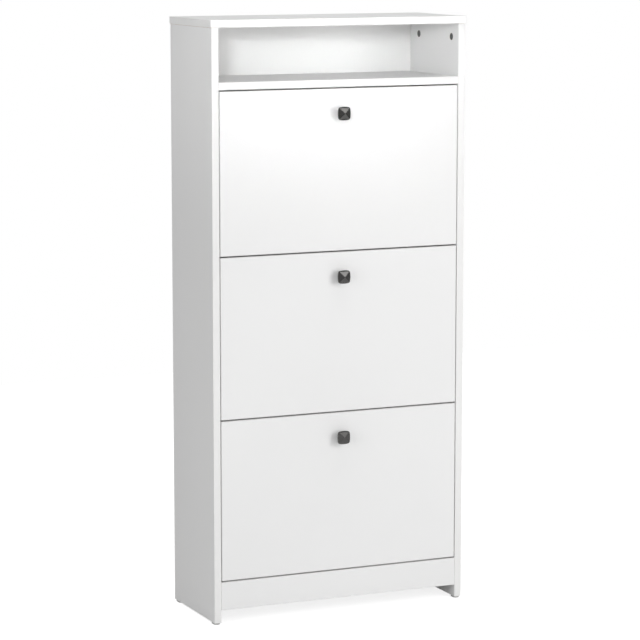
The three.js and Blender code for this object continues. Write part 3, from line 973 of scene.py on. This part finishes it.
def bush_at(name, node):
    """Flanged sleeve with a blind bore that opens to -x."""
    low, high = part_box(node)
    place = (low + high) / 2
    outer_radius = (high.z - low.z) / 2
    piece = rod(name, (low.x + FLANGE / 2, place.y, place.z), outer_radius, FLANGE, "X")
    pick(piece, "FACE", lambda face: face.normal.x > 0.5)
    bpy.ops.mesh.inset(thickness=FLANGE_WIDTH, depth=0)
    pick(piece, "FACE", lambda face: face.normal.x > 0.5 and len(face.verts) > 4)
    bpy.ops.mesh.extrude_region_move(
        TRANSFORM_OT_translate={"value": (high.x - low.x - FLANGE, 0, 0)})
    pick(piece, "FACE", lambda face: face.normal.x < -0.5)
    bpy.ops.mesh.inset(thickness=outer_radius - BUSH_BORE_RADIUS, depth=0)
    pick(piece, "FACE", lambda face: face.normal.x < -0.5 and len(face.verts) > 4)
    bpy.ops.mesh.extrude_region_move(
        TRANSFORM_OT_translate={"value": (high.x - low.x - BUSH_FLOOR, 0, 0)})
    pick(piece, "EDGE", lambda edge: sharp(edge) and near(centre(edge).x, low.x, slack=BUSH_CORNER))
    bpy.ops.mesh.bevel(offset=BUSH_CORNER, segments=2)
    nothing()
    piece.data.materials.append(white_nylon)
    return piece



print("maker: bush_at")

# %% [markdown]
# ### Pegs and pins
# Both are plain round bar. The ends are rounded so that they enter a hole easily. A fine ring is
# turned into the bar where it meets the board, and shows how far it has to be driven in.

# %% Peg and pin
PIN_CORNER = 0.5 * MM
RING_WIDTH = 0.8 * MM
RING_DEPTH = 0.2 * MM
RING_SLOPE = 0.15 * MM


def turned_pin(name, node, material, ring):
    """Round bar that fills a node's box, with rounded ends and a turned ring near one end."""
    low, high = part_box(node)
    place = (low + high) / 2
    radius = (high.z - low.z) / 2
    piece = rod(name, place, radius, high.x - low.x, "X")
    pick(piece, "EDGE", sharp)
    bpy.ops.mesh.bevel(offset=PIN_CORNER, segments=3)
    for shift in (0, RING_WIDTH):
        bpy.ops.mesh.select_all(action="SELECT")
        bpy.ops.mesh.bisect(plane_co=(ring + shift, 0, 0), plane_no=(1, 0, 0))
    pick(piece, "FACE", lambda face: near(centre(face).x, ring + RING_WIDTH / 2, slack=0.1 * MM))
    bpy.ops.mesh.inset(thickness=RING_SLOPE, depth=-RING_DEPTH)
    nothing()
    piece.data.materials.append(material)
    return piece



print("maker: turned_pin")

# %% [markdown]
# ### Glides
# A glide is a short cylinder that is pulled apart along y into an oblong. Its lower edge is well
# rounded, so that it slides, and its stud is a second rod, united with the pad.

# %% Glide
PAD_THICKNESS = 4 * MM
PAD_CORNER = 1.1 * MM
PAD_RIM = 1.0 * MM
PAD_STEP = 0.3 * MM
PAD_HOLLOW = 0.4 * MM
STUD_RADIUS = 1.6 * MM
STUD_TIP = 0.7 * MM
STUD_ROOT = 0.5 * MM


def glide_at(name, node):
    """Oblong pad on the floor with a stud that goes up into the board."""
    low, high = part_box(node)
    place = (low + high) / 2
    width = high.x - low.x
    pad_middle = (place.x, place.y, low.z + PAD_THICKNESS / 2)
    piece = rod(name, pad_middle, width / 2, PAD_THICKNESS, "Z", 48)
    stretch = (high.y - low.y - width) / 2
    for way in (-1, 1):
        pick(piece, "VERT", lambda vertex: (vertex.co.y - place.y) * way > 1e-6)
        bpy.ops.transform.translate(value=(0, way * stretch, 0))
    pick(piece, "EDGE", sharp)
    bpy.ops.mesh.bevel(offset=PAD_CORNER, segments=3)
    pick(piece, "FACE", lambda face: face.normal.z < -0.999)
    bpy.ops.mesh.inset(thickness=PAD_RIM, depth=0)
    bpy.ops.mesh.inset(thickness=PAD_STEP, depth=-PAD_HOLLOW)
    nothing()
    piece.data.materials.append(grey_plastic)
    stud_bottom = low.z + PAD_THICKNESS - STUD_ROOT
    stud = rod("stud", (place.x, place.y, (stud_bottom + high.z) / 2), STUD_RADIUS,
               high.z - stud_bottom, "Z", FINE_SIDES)
    pick(stud, "EDGE", lambda edge: sharp(edge) and near(centre(edge).z, high.z))
    bpy.ops.mesh.bevel(offset=STUD_TIP, segments=1)
    nothing()
    apply_modifier(piece, "BOOLEAN", operation="UNION", solver="MANIFOLD", object=stud)
    bpy.data.objects.remove(stud)
    return piece



print("maker: glide_at")

# %% [markdown]
# ### All of the small hardware
# One bush, one peg and one glide are made. Copies of the first two go up by one flap's height at
# a time, and a copy of the glide goes to the rear. Then all of them are mirrored to the left.

# %% All of the small hardware
RING_INSIDE = 2.6 * MM
small = {}
first_bush = bush_at("bush_bottom_right", "pivot_bush_bottom_right")
first_peg = turned_pin("peg_bottom_right", "stop_peg_bottom_right", drawn_steel,
                       inner_face - RING_INSIDE)
first_glide = glide_at("glide_pad_front_right", "glide_front_right")
small["pivot_bush_bottom_right"] = first_bush
small["stop_peg_bottom_right"] = first_peg
for flap in FLAPS[1:]:
    rise = (0, 0, middle_of(f"pivot_bush_{flap}_right").z - middle_of("pivot_bush_bottom_right").z)
    small[f"pivot_bush_{flap}_right"] = twin(first_bush, f"bush_{flap}_right", rise)
    small[f"stop_peg_{flap}_right"] = twin(first_peg, f"peg_{flap}_right", rise)
small["glide_front_right"] = first_glide
back_step = middle_of("glide_rear_right") - middle_of("glide_front_right")
small["glide_rear_right"] = twin(first_glide, "glide_pad_rear_right", back_step)
for node, piece in list(small.items()):
    left = node.replace("_right", "_left")
    small[left] = mirrored(piece, piece.name.replace("_right", "_left"))
print("small pieces", len(small))

# %% [markdown]
# ### Fasten the carcass
# Every piece is told which body it belongs to and which imported nodes it stands for. The bolts
# of the cams are left as they are and only plated.

# %% Fasten the carcass
whites = {"top_panel": top_board, "niche_shelf": niche_floor, "plinth": plinth_board,
          "side_panel_right": side_right, "side_panel_left": side_left, **rails}
for node, piece in whites.items():
    fasten(piece, "cabinet", "white_board", node)
fasten(back_board, "cabinet", "back_sheet", "back_sheet")
fasten(back_nails, "cabinet", "steel")
for node, piece in cams.items():
    fasten(piece, "cabinet", "cam_zinc", node)
for piece in extra_cams:
    fasten(piece, "cabinet", "cam_zinc")
SMALL_SLOTS = {"pivot": "bush_plastic", "stop": "steel", "glide": "glide_plastic"}
for node, piece in small.items():
    fasten(piece, "cabinet", SMALL_SLOTS[node.split("_")[0]], node)
for end in ("front", "rear"):
    for side in SIDES:
        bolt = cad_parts[f"cam_bolt_{end}_{side}"]
        bolt.data.materials.clear()
        bolt.data.materials.append(drawn_steel)
print("carcass fastened")

# %% [markdown]
# ## The flap's boards
# A flap is a front board with two cheeks behind it and two shelves between them for the shoes. The
# cheek is the odd one out: its upper edge is an arc round the pivot, so that it swings clear of
# what is above. The surest start for an arc is a round disc about the pivot axis. Three straight
# cuts turn the disc into the cheek. The groove for the stop peg is spun about the same axis.

# %% Front and shelves
FRONT_CORNER = 0.9 * MM
front_low, front_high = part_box("bottom_flap_front")
flap_front = board("flap_front", front_low, front_high, ENDS_AND_EDGES, FRONT_CORNER)
pin_low, pin_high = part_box("bottom_flap_pivot_pin_right")
pin_place = (pin_low + pin_high) / 2
pin_radius = (pin_high.z - pin_low.z) / 2
pin_inside = front_high.x - pin_low.x
bore = pin_inside + PLAY + OVERSHOOT
for side in (-1, 1):
    bore_middle = side * (front_high.x + OVERSHOOT - bore / 2)
    drill(flap_front, (bore_middle, pin_place.y, pin_place.z), pin_radius + PLAY, bore, "X",
          FINE_SIDES)
FOUR_EDGES = ["left", "right", "front", "rear"]
low_shelf = board("low_shelf", *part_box("bottom_flap_low_shelf"), FOUR_EDGES)
middle_shelf = board("middle_shelf", *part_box("bottom_flap_middle_shelf"), FOUR_EDGES)
print("flap front", [round(value / MM, 1) for value in front_high - front_low], "mm")

# %% [markdown]
# ### Cheek
# The disc has a fine rim, so that the arc looks smooth. It is cut off at the front, behind and
# below, and each cut is closed again. All of its narrow faces carry the band.

# %% Cheek
ARC_SIDES = 160
cheek_low, cheek_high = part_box("bottom_flap_cheek_right")
arc_radius = math.hypot(cheek_low.y - pin_place.y, cheek_high.z - pin_place.z)
cheek_thickness = cheek_high.x - cheek_low.x
disc_place = ((cheek_low.x + cheek_high.x) / 2, pin_place.y, pin_place.z)
cheek_right = rod("cheek_right", disc_place, arc_radius, cheek_thickness, "X", ARC_SIDES)
for material in (white_film, edge_band, raw_chips):
    cheek_right.data.materials.append(material)
pick(cheek_right, "FACE", lambda face: True)
for corner_point, word in ((cheek_low, "front"), (cheek_high, "rear"), (cheek_low, "down")):
    bpy.ops.mesh.select_all(action="SELECT")
    bpy.ops.mesh.bisect(plane_co=corner_point, plane_no=DIRECTIONS[word], clear_outer=True,
                        use_fill=True)
paint(cheek_right, lambda face: abs(face.normal.x) < 0.5, BANDING)
pick(cheek_right, "EDGE", sharp)
bpy.ops.mesh.bevel(offset=CORNER, segments=2)
nothing()
print("cheek arc radius", round(arc_radius / MM, 2), "mm,", len(cheek_right.data.polygons), "faces")

# %% [markdown]
# ### Stop groove
# The peg in the side panel runs in this groove, and its two ends are where the flap stops. A small
# upright plane stands for the router bit. It is spun about the pivot through the flap's opening
# angle, and a round bore at each end gives the groove the round ends that a bit leaves.

# %% Stop groove
GROOVE_DEPTH = 7 * MM
GROOVE_PLAY = 0.6 * MM
GROOVE_STEPS = 24
OPEN_ANGLE = math.radians(45)
peg_low, peg_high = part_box("stop_peg_bottom_right")
peg_place = (peg_low + peg_high) / 2
groove_half = (peg_high.z - peg_low.z) / 2 + GROOVE_PLAY
groove_middle = cheek_high.x - GROOVE_DEPTH / 2 + OVERSHOOT
groove_length = GROOVE_DEPTH + 2 * OVERSHOOT
axis_point = Vector((groove_middle, pin_place.y, pin_place.z))
start_point = Vector((groove_middle, peg_place.y, peg_place.z))
arm = start_point - axis_point
nothing()
bpy.ops.mesh.primitive_plane_add(size=1, location=start_point, rotation=(0, 0, 0))
groove = bpy.context.object
groove.name = "groove"
groove.scale = (groove_length, 2 * groove_half, 1)
groove.rotation_euler = (math.atan2(arm.z, arm.y), 0, 0)
settle(groove)
pick(groove, "FACE", lambda face: True)
bpy.ops.mesh.spin(steps=GROOVE_STEPS, angle=-OPEN_ANGLE, center=axis_point, axis=(1, 0, 0))
bpy.ops.mesh.select_all(action="SELECT")
bpy.ops.mesh.remove_doubles(threshold=1e-6)
bpy.ops.mesh.normals_make_consistent(inside=False)
nothing()
groove_heights = [corner[2] for corner in groove.bound_box]
print("groove from", min(groove_heights), "to", max(groove_heights), "m high")
groove.data.materials.append(raw_chips)
cut(cheek_right, groove)
for turned in (0.0, -OPEN_ANGLE):
    bearing = math.atan2(arm.z, arm.y) + turned
    round_end = (groove_middle, pin_place.y + arm.length * math.cos(bearing),
                 pin_place.z + arm.length * math.sin(bearing))
    drill(cheek_right, round_end, groove_half, groove_length, "X")
print("cheek with groove", len(cheek_right.data.polygons), "faces")

# %% [markdown]
# ### Cams in the cheek
# Two cams on the inner face of each cheek pull the front board tight, one low and one high.

# %% Cams in the cheek
CHEEK_CAM_RADIUS = 6 * MM
CHEEK_CAM_LENGTH = 9 * MM
CHEEK_CAM_BACK = 24 * MM
CHEEK_CAM_HEIGHTS = {"low": 50 * MM, "high": 290 * MM}
cheek_cams = []
for label, height in CHEEK_CAM_HEIGHTS.items():
    place = Vector((cheek_low.x + CHEEK_CAM_LENGTH / 2, cheek_low.y + CHEEK_CAM_BACK,
                    front_low.z + height))
    drill(cheek_right, place, CHEEK_CAM_RADIUS + PLAY, CHEEK_CAM_LENGTH + 2 * PLAY, "X")
    cheek_cams.append(cam_at(f"cheek_cam_{label}_right", place, CHEEK_CAM_RADIUS, CHEEK_CAM_LENGTH))
print("cheek cams", len(cheek_cams))

# %% [markdown]
# ## Knob
# The knob is a polished casting: a low four-sided point inside a dark border, a square head with
# slightly swelling sides, a flare and a round stem. The point is a cone with four sides, because
# its faces must be truly flat to flash one by one. The outline of the head is a ring of its own,
# swollen and smoothed while it is still free, and only then bridged to the point by a flat border.
# From there the ring is pushed back over a round shoulder to make the rim, then drawn in as the
# flare and out as the stem.

# %% Point and outline
RING_CUTS = 7
POINT_SHARE = 0.8
POINT_HEIGHT = 3.9 * MM
BORDER_STEP = 0.12 * MM
SHOULDER = 0.96
SWELL = 0.3
FACING = (math.pi / 2, math.pi / 4, 0)
knob_low, knob_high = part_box("bottom_flap_knob")
knob_x = (knob_low.x + knob_high.x) / 2
knob_z = (knob_low.z + knob_high.z) / 2
knob_half = (knob_high.x - knob_low.x) / 2
point_half = POINT_SHARE * knob_half
border_y = knob_low.y + POINT_HEIGHT
outline_y = border_y + BORDER_STEP

nothing()
bpy.ops.mesh.primitive_cone_add(
    vertices=4, radius1=point_half * math.sqrt(2), radius2=0, depth=POINT_HEIGHT,
    end_fill_type="NOTHING", location=(knob_x, knob_low.y + POINT_HEIGHT / 2, knob_z),
    rotation=FACING)
knob = bpy.context.object
knob.name = "knob"
settle(knob)
pick(knob, "EDGE", lambda edge: near(centre(edge).y, border_y))
bpy.ops.mesh.subdivide(number_cuts=RING_CUTS)
nothing()

bpy.ops.mesh.primitive_circle_add(
    vertices=4, radius=knob_half * math.sqrt(2), location=(0, 0, 0), rotation=FACING)
outline = bpy.context.object
outline.name = "outline"
settle(outline)
pick(outline, "EDGE", lambda edge: True)
bpy.ops.mesh.subdivide(number_cuts=RING_CUTS)
bpy.ops.transform.tosphere(value=SWELL)
bpy.ops.mesh.vertices_smooth(factor=0.5, repeat=2)
done_half = max(vertex.co.x for vertex in bmesh.from_edit_mesh(outline.data).verts)
fit = SHOULDER * knob_half / done_half
bpy.ops.transform.resize(value=(fit, fit, fit), center_override=(0, 0, 0))
nothing()
outline.location = (knob_x, outline_y, knob_z)
settle(outline)
print("outline half width", round(done_half / MM, 3), "before fitting to", round(knob_half / MM, 3))

# %% [markdown]
# ### Head, flare and stem
# The point and the outline become one mesh and are bridged. Each push then goes a little further
# back: over the shoulder to the full width, along the rim, in under the head, out again as the
# flare narrows to the stem, and down to the flap. The hole for the screw comes last.

# %% Head, flare and stem
STEM_RADIUS = 6.5 * MM
RIM_START = 0.988
EDGE_ANGLE = math.radians(14)
EDGE_WIDTH = 0.15 * MM
SCREW_BORE = 2.3 * MM
SCREW_BORE_LENGTH = 19 * MM

joined([knob, outline])
pick(knob, "EDGE", lambda edge: len(edge.link_faces) < 2)
bpy.ops.mesh.bridge_edge_loops()


def push_ring(back, scale=1.0, roundness=0.0):
    """Extrude the knob's open rear ring back, scale it, round it, and give its radius."""
    pick(knob, "EDGE", lambda edge: len(edge.link_faces) == 1)
    bpy.ops.mesh.extrude_region_move(TRANSFORM_OT_translate={"value": (0, back, 0)})
    mesh = bmesh.from_edit_mesh(knob.data)
    ring_y = max(vertex.co.y for vertex in mesh.verts)
    bpy.ops.transform.resize(value=(scale, 1, scale), center_override=(knob_x, ring_y, knob_z))
    if roundness:
        bpy.ops.transform.tosphere(value=roundness)
    ring = [vertex.co for vertex in mesh.verts if vertex.select]
    return max(math.hypot(point.x - knob_x, point.z - knob_z) for point in ring)


push_ring(back=0.35 * MM, scale=RIM_START / SHOULDER)
push_ring(back=0.45 * MM, scale=1 / RIM_START)
push_ring(back=2.5 * MM)
push_ring(back=1.0 * MM, scale=0.93, roundness=0.1)
push_ring(back=1.8 * MM, scale=0.74, roundness=0.4)
flare = push_ring(back=1.4 * MM, scale=0.8, roundness=1.0)
reach = push_ring(back=0.8 * MM, scale=STEM_RADIUS / flare, roundness=1.0)
mesh = bmesh.from_edit_mesh(knob.data)
stem_start = max(vertex.co.y for vertex in mesh.verts)
push_ring(back=knob_high.y - stem_start)
pick(knob, "EDGE", lambda edge: len(edge.link_faces) == 1)
bpy.ops.mesh.edge_face_add()
bpy.ops.mesh.select_all(action="SELECT")
bpy.ops.mesh.normals_make_consistent(inside=False)
nothing()
apply_modifier(knob, "BEVEL", limit_method="ANGLE", angle_limit=EDGE_ANGLE,
               width=EDGE_WIDTH, segments=2)
screw_hole = rod("screw_hole", (knob_x, knob_high.y, knob_z), SCREW_BORE, SCREW_BORE_LENGTH, "Y",
                 24)
cut(knob, screw_hole)
knob.data.materials.clear()
knob.data.materials.append(gunmetal)
print("knob", len(knob.data.polygons), "faces, stem radius", round(reach / MM, 2), "mm")

# %% [markdown]
# ## Knob screw and pivot pins
# The screw comes through the flap from behind, and its pan head shows inside. The head is a short
# cylinder with its rear edge well rounded, its shank pushed out of the other side, and a cross cut
# in it. The pivot pin is a plain steel pin driven into the side edge of the front.

# %% Screw and pin
HEAD_HEIGHT = 2.5 * MM
HEAD_OVERHANG = 2.5 * MM
HEAD_ROUNDING = 1.2 * MM
CROSS_REACH = 2.3 * MM
CROSS_HALF = 0.45 * MM
CROSS_DEPTH = 1.3 * MM
RING_OUTSIDE = 0.4 * MM
screw_low, screw_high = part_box("bottom_flap_knob_screw")
screw_place = (screw_low + screw_high) / 2
screw = rod("screw", (screw_place.x, screw_high.y - HEAD_HEIGHT / 2, screw_place.z),
            (screw_high.x - screw_low.x) / 2, HEAD_HEIGHT, "Y")
pick(screw, "FACE", lambda face: face.normal.y < -0.5)
bpy.ops.mesh.inset(thickness=HEAD_OVERHANG, depth=0)
pick(screw, "FACE", lambda face: face.normal.y < -0.5 and len(face.verts) > 4)
bpy.ops.mesh.extrude_region_move(
    TRANSFORM_OT_translate={"value": (0, screw_low.y - (screw_high.y - HEAD_HEIGHT), 0)})
pick(screw, "EDGE", lambda edge: sharp(edge) and near(centre(edge).y, screw_high.y, slack=0.1 * MM))
bpy.ops.mesh.bevel(offset=HEAD_ROUNDING, segments=4)
nothing()
for across, upright in ((CROSS_REACH, CROSS_HALF), (CROSS_HALF, CROSS_REACH)):
    low = (screw_place.x - across, screw_high.y - CROSS_DEPTH, screw_place.z - upright)
    high = (screw_place.x + across, screw_high.y + OVERSHOOT, screw_place.z + upright)
    cut(screw, block("slot", low, high))
screw.data.materials.clear()
screw.data.materials.append(drawn_steel)
pin_right = turned_pin("pin_right", "bottom_flap_pivot_pin_right", drawn_steel,
                       front_high.x + RING_OUTSIDE)
print("screw", len(screw.data.polygons), "faces, pin", len(pin_right.data.polygons), "faces")

# %% [markdown]
# ## Three flaps from one
# The flap is now complete on its right side. Its left side is a mirrored copy. The whole set is then
# copied up twice, each copy with its own mesh, and every piece is told which flap it swings with.

# %% Mirror, copy up and fasten
one_flap = [
    (flap_front, "front", "white_board", "front"),
    (low_shelf, "low_shelf_board", "white_board", "low_shelf"),
    (middle_shelf, "middle_shelf_board", "white_board", "middle_shelf"),
    (knob, "knob_casting", "knob_metal", "knob"),
    (screw, "knob_screw_pan_head", "steel", "knob_screw"),
    (cheek_right, "cheek_board_right", "white_board", "cheek_right"),
    (mirrored(cheek_right, "cheek_left"), "cheek_board_left", "white_board", "cheek_left"),
    (pin_right, "pin_right", "steel", "pivot_pin_right"),
    (mirrored(pin_right, "pin_left"), "pin_left", "steel", "pivot_pin_left"),
]
for piece in cheek_cams:
    label = piece.name.replace("_right", "")
    one_flap.append((piece, f"{label}_right", "cam_zinc", None))
    one_flap.append((mirrored(piece, "cam_left"), f"{label}_left", "cam_zinc", None))

KNOB_ANGLE = math.radians(12)
made = 0
for flap in FLAPS:
    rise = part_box(f"{flap}_flap_front")[0].z - front_low.z
    for piece, label, slot, node in one_flap:
        copy = twin(piece, f"{flap}_{label}", (0, 0, rise))
        nodes = [f"{flap}_flap_{node}"] if node else []
        angle = KNOB_ANGLE if label == "knob_casting" else SOFT_ANGLE
        fasten(copy, f"{flap}_flap", slot, *nodes, angle=angle)
        made += 1
for piece, *rest in one_flap:
    bpy.data.objects.remove(piece)
print("flap pieces", made)

# %% [markdown]
# ## Floor and light
# The floor is plain and nearly white, and large enough that its edge is never seen near the
# cabinet. It gives off some light of its own towards the camera only, so that it runs into the
# white background without a horizon and still lights nothing.

# %% Floor
FLOOR_SIZE = 6.0
FLOOR_DROP = 0.1 * MM
FLOOR_GLOW = 0.78
PURE_WHITE = (1.0, 1.0, 1.0, 1.0)
nothing()
bpy.ops.mesh.primitive_plane_add(size=FLOOR_SIZE, location=(0, 0, -FLOOR_DROP))
floor = bpy.context.object
floor.name = "floor"
settle(floor)
floor_paint, floor_tree, floor_shader = new_finish("floor_paint", Specular_IOR_Level=0.1)
floor_grain = effect(floor_tree, fine_grain, Grain_Scale=80.0, Cloud_Scale=1.5, Grain_Share=0.5)
floor_colour = blend(floor_tree, floor_grain.outputs["Cloud"], (0.66, 0.66, 0.66),
                     (0.7, 0.7, 0.7))
floor_rough = ramp(floor_tree, floor_grain.outputs["Grain"], to_low=0.8, to_high=0.95)
floor_shader.inputs["Emission Color"].default_value = PURE_WHITE
floor_ray = add(floor_tree, "ShaderNodeLightPath", {})
floor_glow = maths(floor_tree, "MULTIPLY", floor_ray.outputs["Is Camera Ray"], FLOOR_GLOW)
floor_tree.links.new(floor_glow, floor_shader.inputs["Emission Strength"])
dress(floor_tree, floor_shader, floor_colour, floor_rough, floor_grain.outputs["Height"],
      depth=0.1 * MM)
floor.data.materials.append(floor_paint)
print("floor", FLOOR_SIZE, "m square")

# %% [markdown]
# ### Lamps
# The light is that of a product studio. A soft box stands in front and to the right, and throws a
# knob's shadow to the left. Two wide, weak boxes, in front and on the left, keep the other faces
# from going dark. A small box with a grid over it looks from the left into the niche, and lights
# that and the top flap and little else. A panel overhead lights the top and the floor. Polished
# metal shows whatever stands round it, so only a box high up on the right and the panel are let
# into reflections: the knob's upper face then flashes and its other faces stay dark.

# %% Lights
LIT_HEIGHT = 1.0
GRID_AIM_LIFT = 155 * MM
GRID_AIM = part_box("niche_shelf")[1].z + GRID_AIM_LIFT


def soft_box(name, bearing, height_angle, distance, size, power, height=LIT_HEIGHT,
             spread=180, mirrored_in_metal=False):
    """A square area light that looks at a point on the cabinet's middle line."""
    data = bpy.data.lights.new(name, "AREA")
    data.shape = "SQUARE"
    data.size = size
    data.energy = power
    data.spread = math.radians(spread)
    lamp = bpy.data.objects.new(name, data)
    bpy.context.scene.collection.objects.link(lamp)
    level, tilt = math.radians(bearing), math.radians(height_angle)
    away = Vector((math.sin(level) * math.cos(tilt), -math.cos(level) * math.cos(tilt),
                   math.sin(tilt)))
    lamp.location = Vector((0, 0, height)) + away * distance
    lamp.rotation_euler = (-away).to_track_quat("-Z", "Y").to_euler()
    lamp.visible_glossy = mirrored_in_metal
    return lamp


lamps = [
    soft_box("key_box", bearing=26, height_angle=4, distance=3.3, size=1.6, power=35),
    soft_box("high_box", bearing=26, height_angle=24, distance=4.2, size=1.3, power=12,
             mirrored_in_metal=True),
    soft_box("front_fill", bearing=-12, height_angle=2, distance=5.0, size=3.0, power=28),
    soft_box("left_fill", bearing=-62, height_angle=6, distance=4.5, size=2.4, power=48),
    soft_box("overhead_panel", bearing=0, height_angle=86, distance=3.0, size=2.4, power=45,
             mirrored_in_metal=True),
    soft_box("gridded_box", bearing=-30, height_angle=8, distance=3.0, size=0.5, power=0.5,
             height=GRID_AIM, spread=15),
]
print("lights", [lamp.name for lamp in lamps])

# %% [markdown]
# ### Room
# The walls of the room are one even pale grey, which is what fills the shadows. Seen straight from
# the camera they are white, as a studio's background is once it is lit by lamps of its own.

# %% Room
ROOM_GLOW = 0.3
BACKGROUND_GLOW = 1.0
world = bpy.data.worlds.new("studio_room")
bpy.context.scene.world = world
world.use_nodes = True
room = world.node_tree
room.nodes.clear()
around = add(room, "ShaderNodeBackground", {"Color": PURE_WHITE, "Strength": ROOM_GLOW})
seen = add(room, "ShaderNodeBackground", {"Color": PURE_WHITE, "Strength": BACKGROUND_GLOW})
ray = add(room, "ShaderNodeLightPath", {})
either = add(room, "ShaderNodeMixShader",
             {0: ray.outputs["Is Camera Ray"], 1: around.outputs[0], 2: seen.outputs[0]})
add(room, "ShaderNodeOutputWorld", {"Surface": either.outputs[0]})
bpy.context.scene.view_settings.view_transform = "Standard"
print("room", world.name)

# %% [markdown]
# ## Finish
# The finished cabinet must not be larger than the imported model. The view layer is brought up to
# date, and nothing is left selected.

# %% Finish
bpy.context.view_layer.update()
nothing()
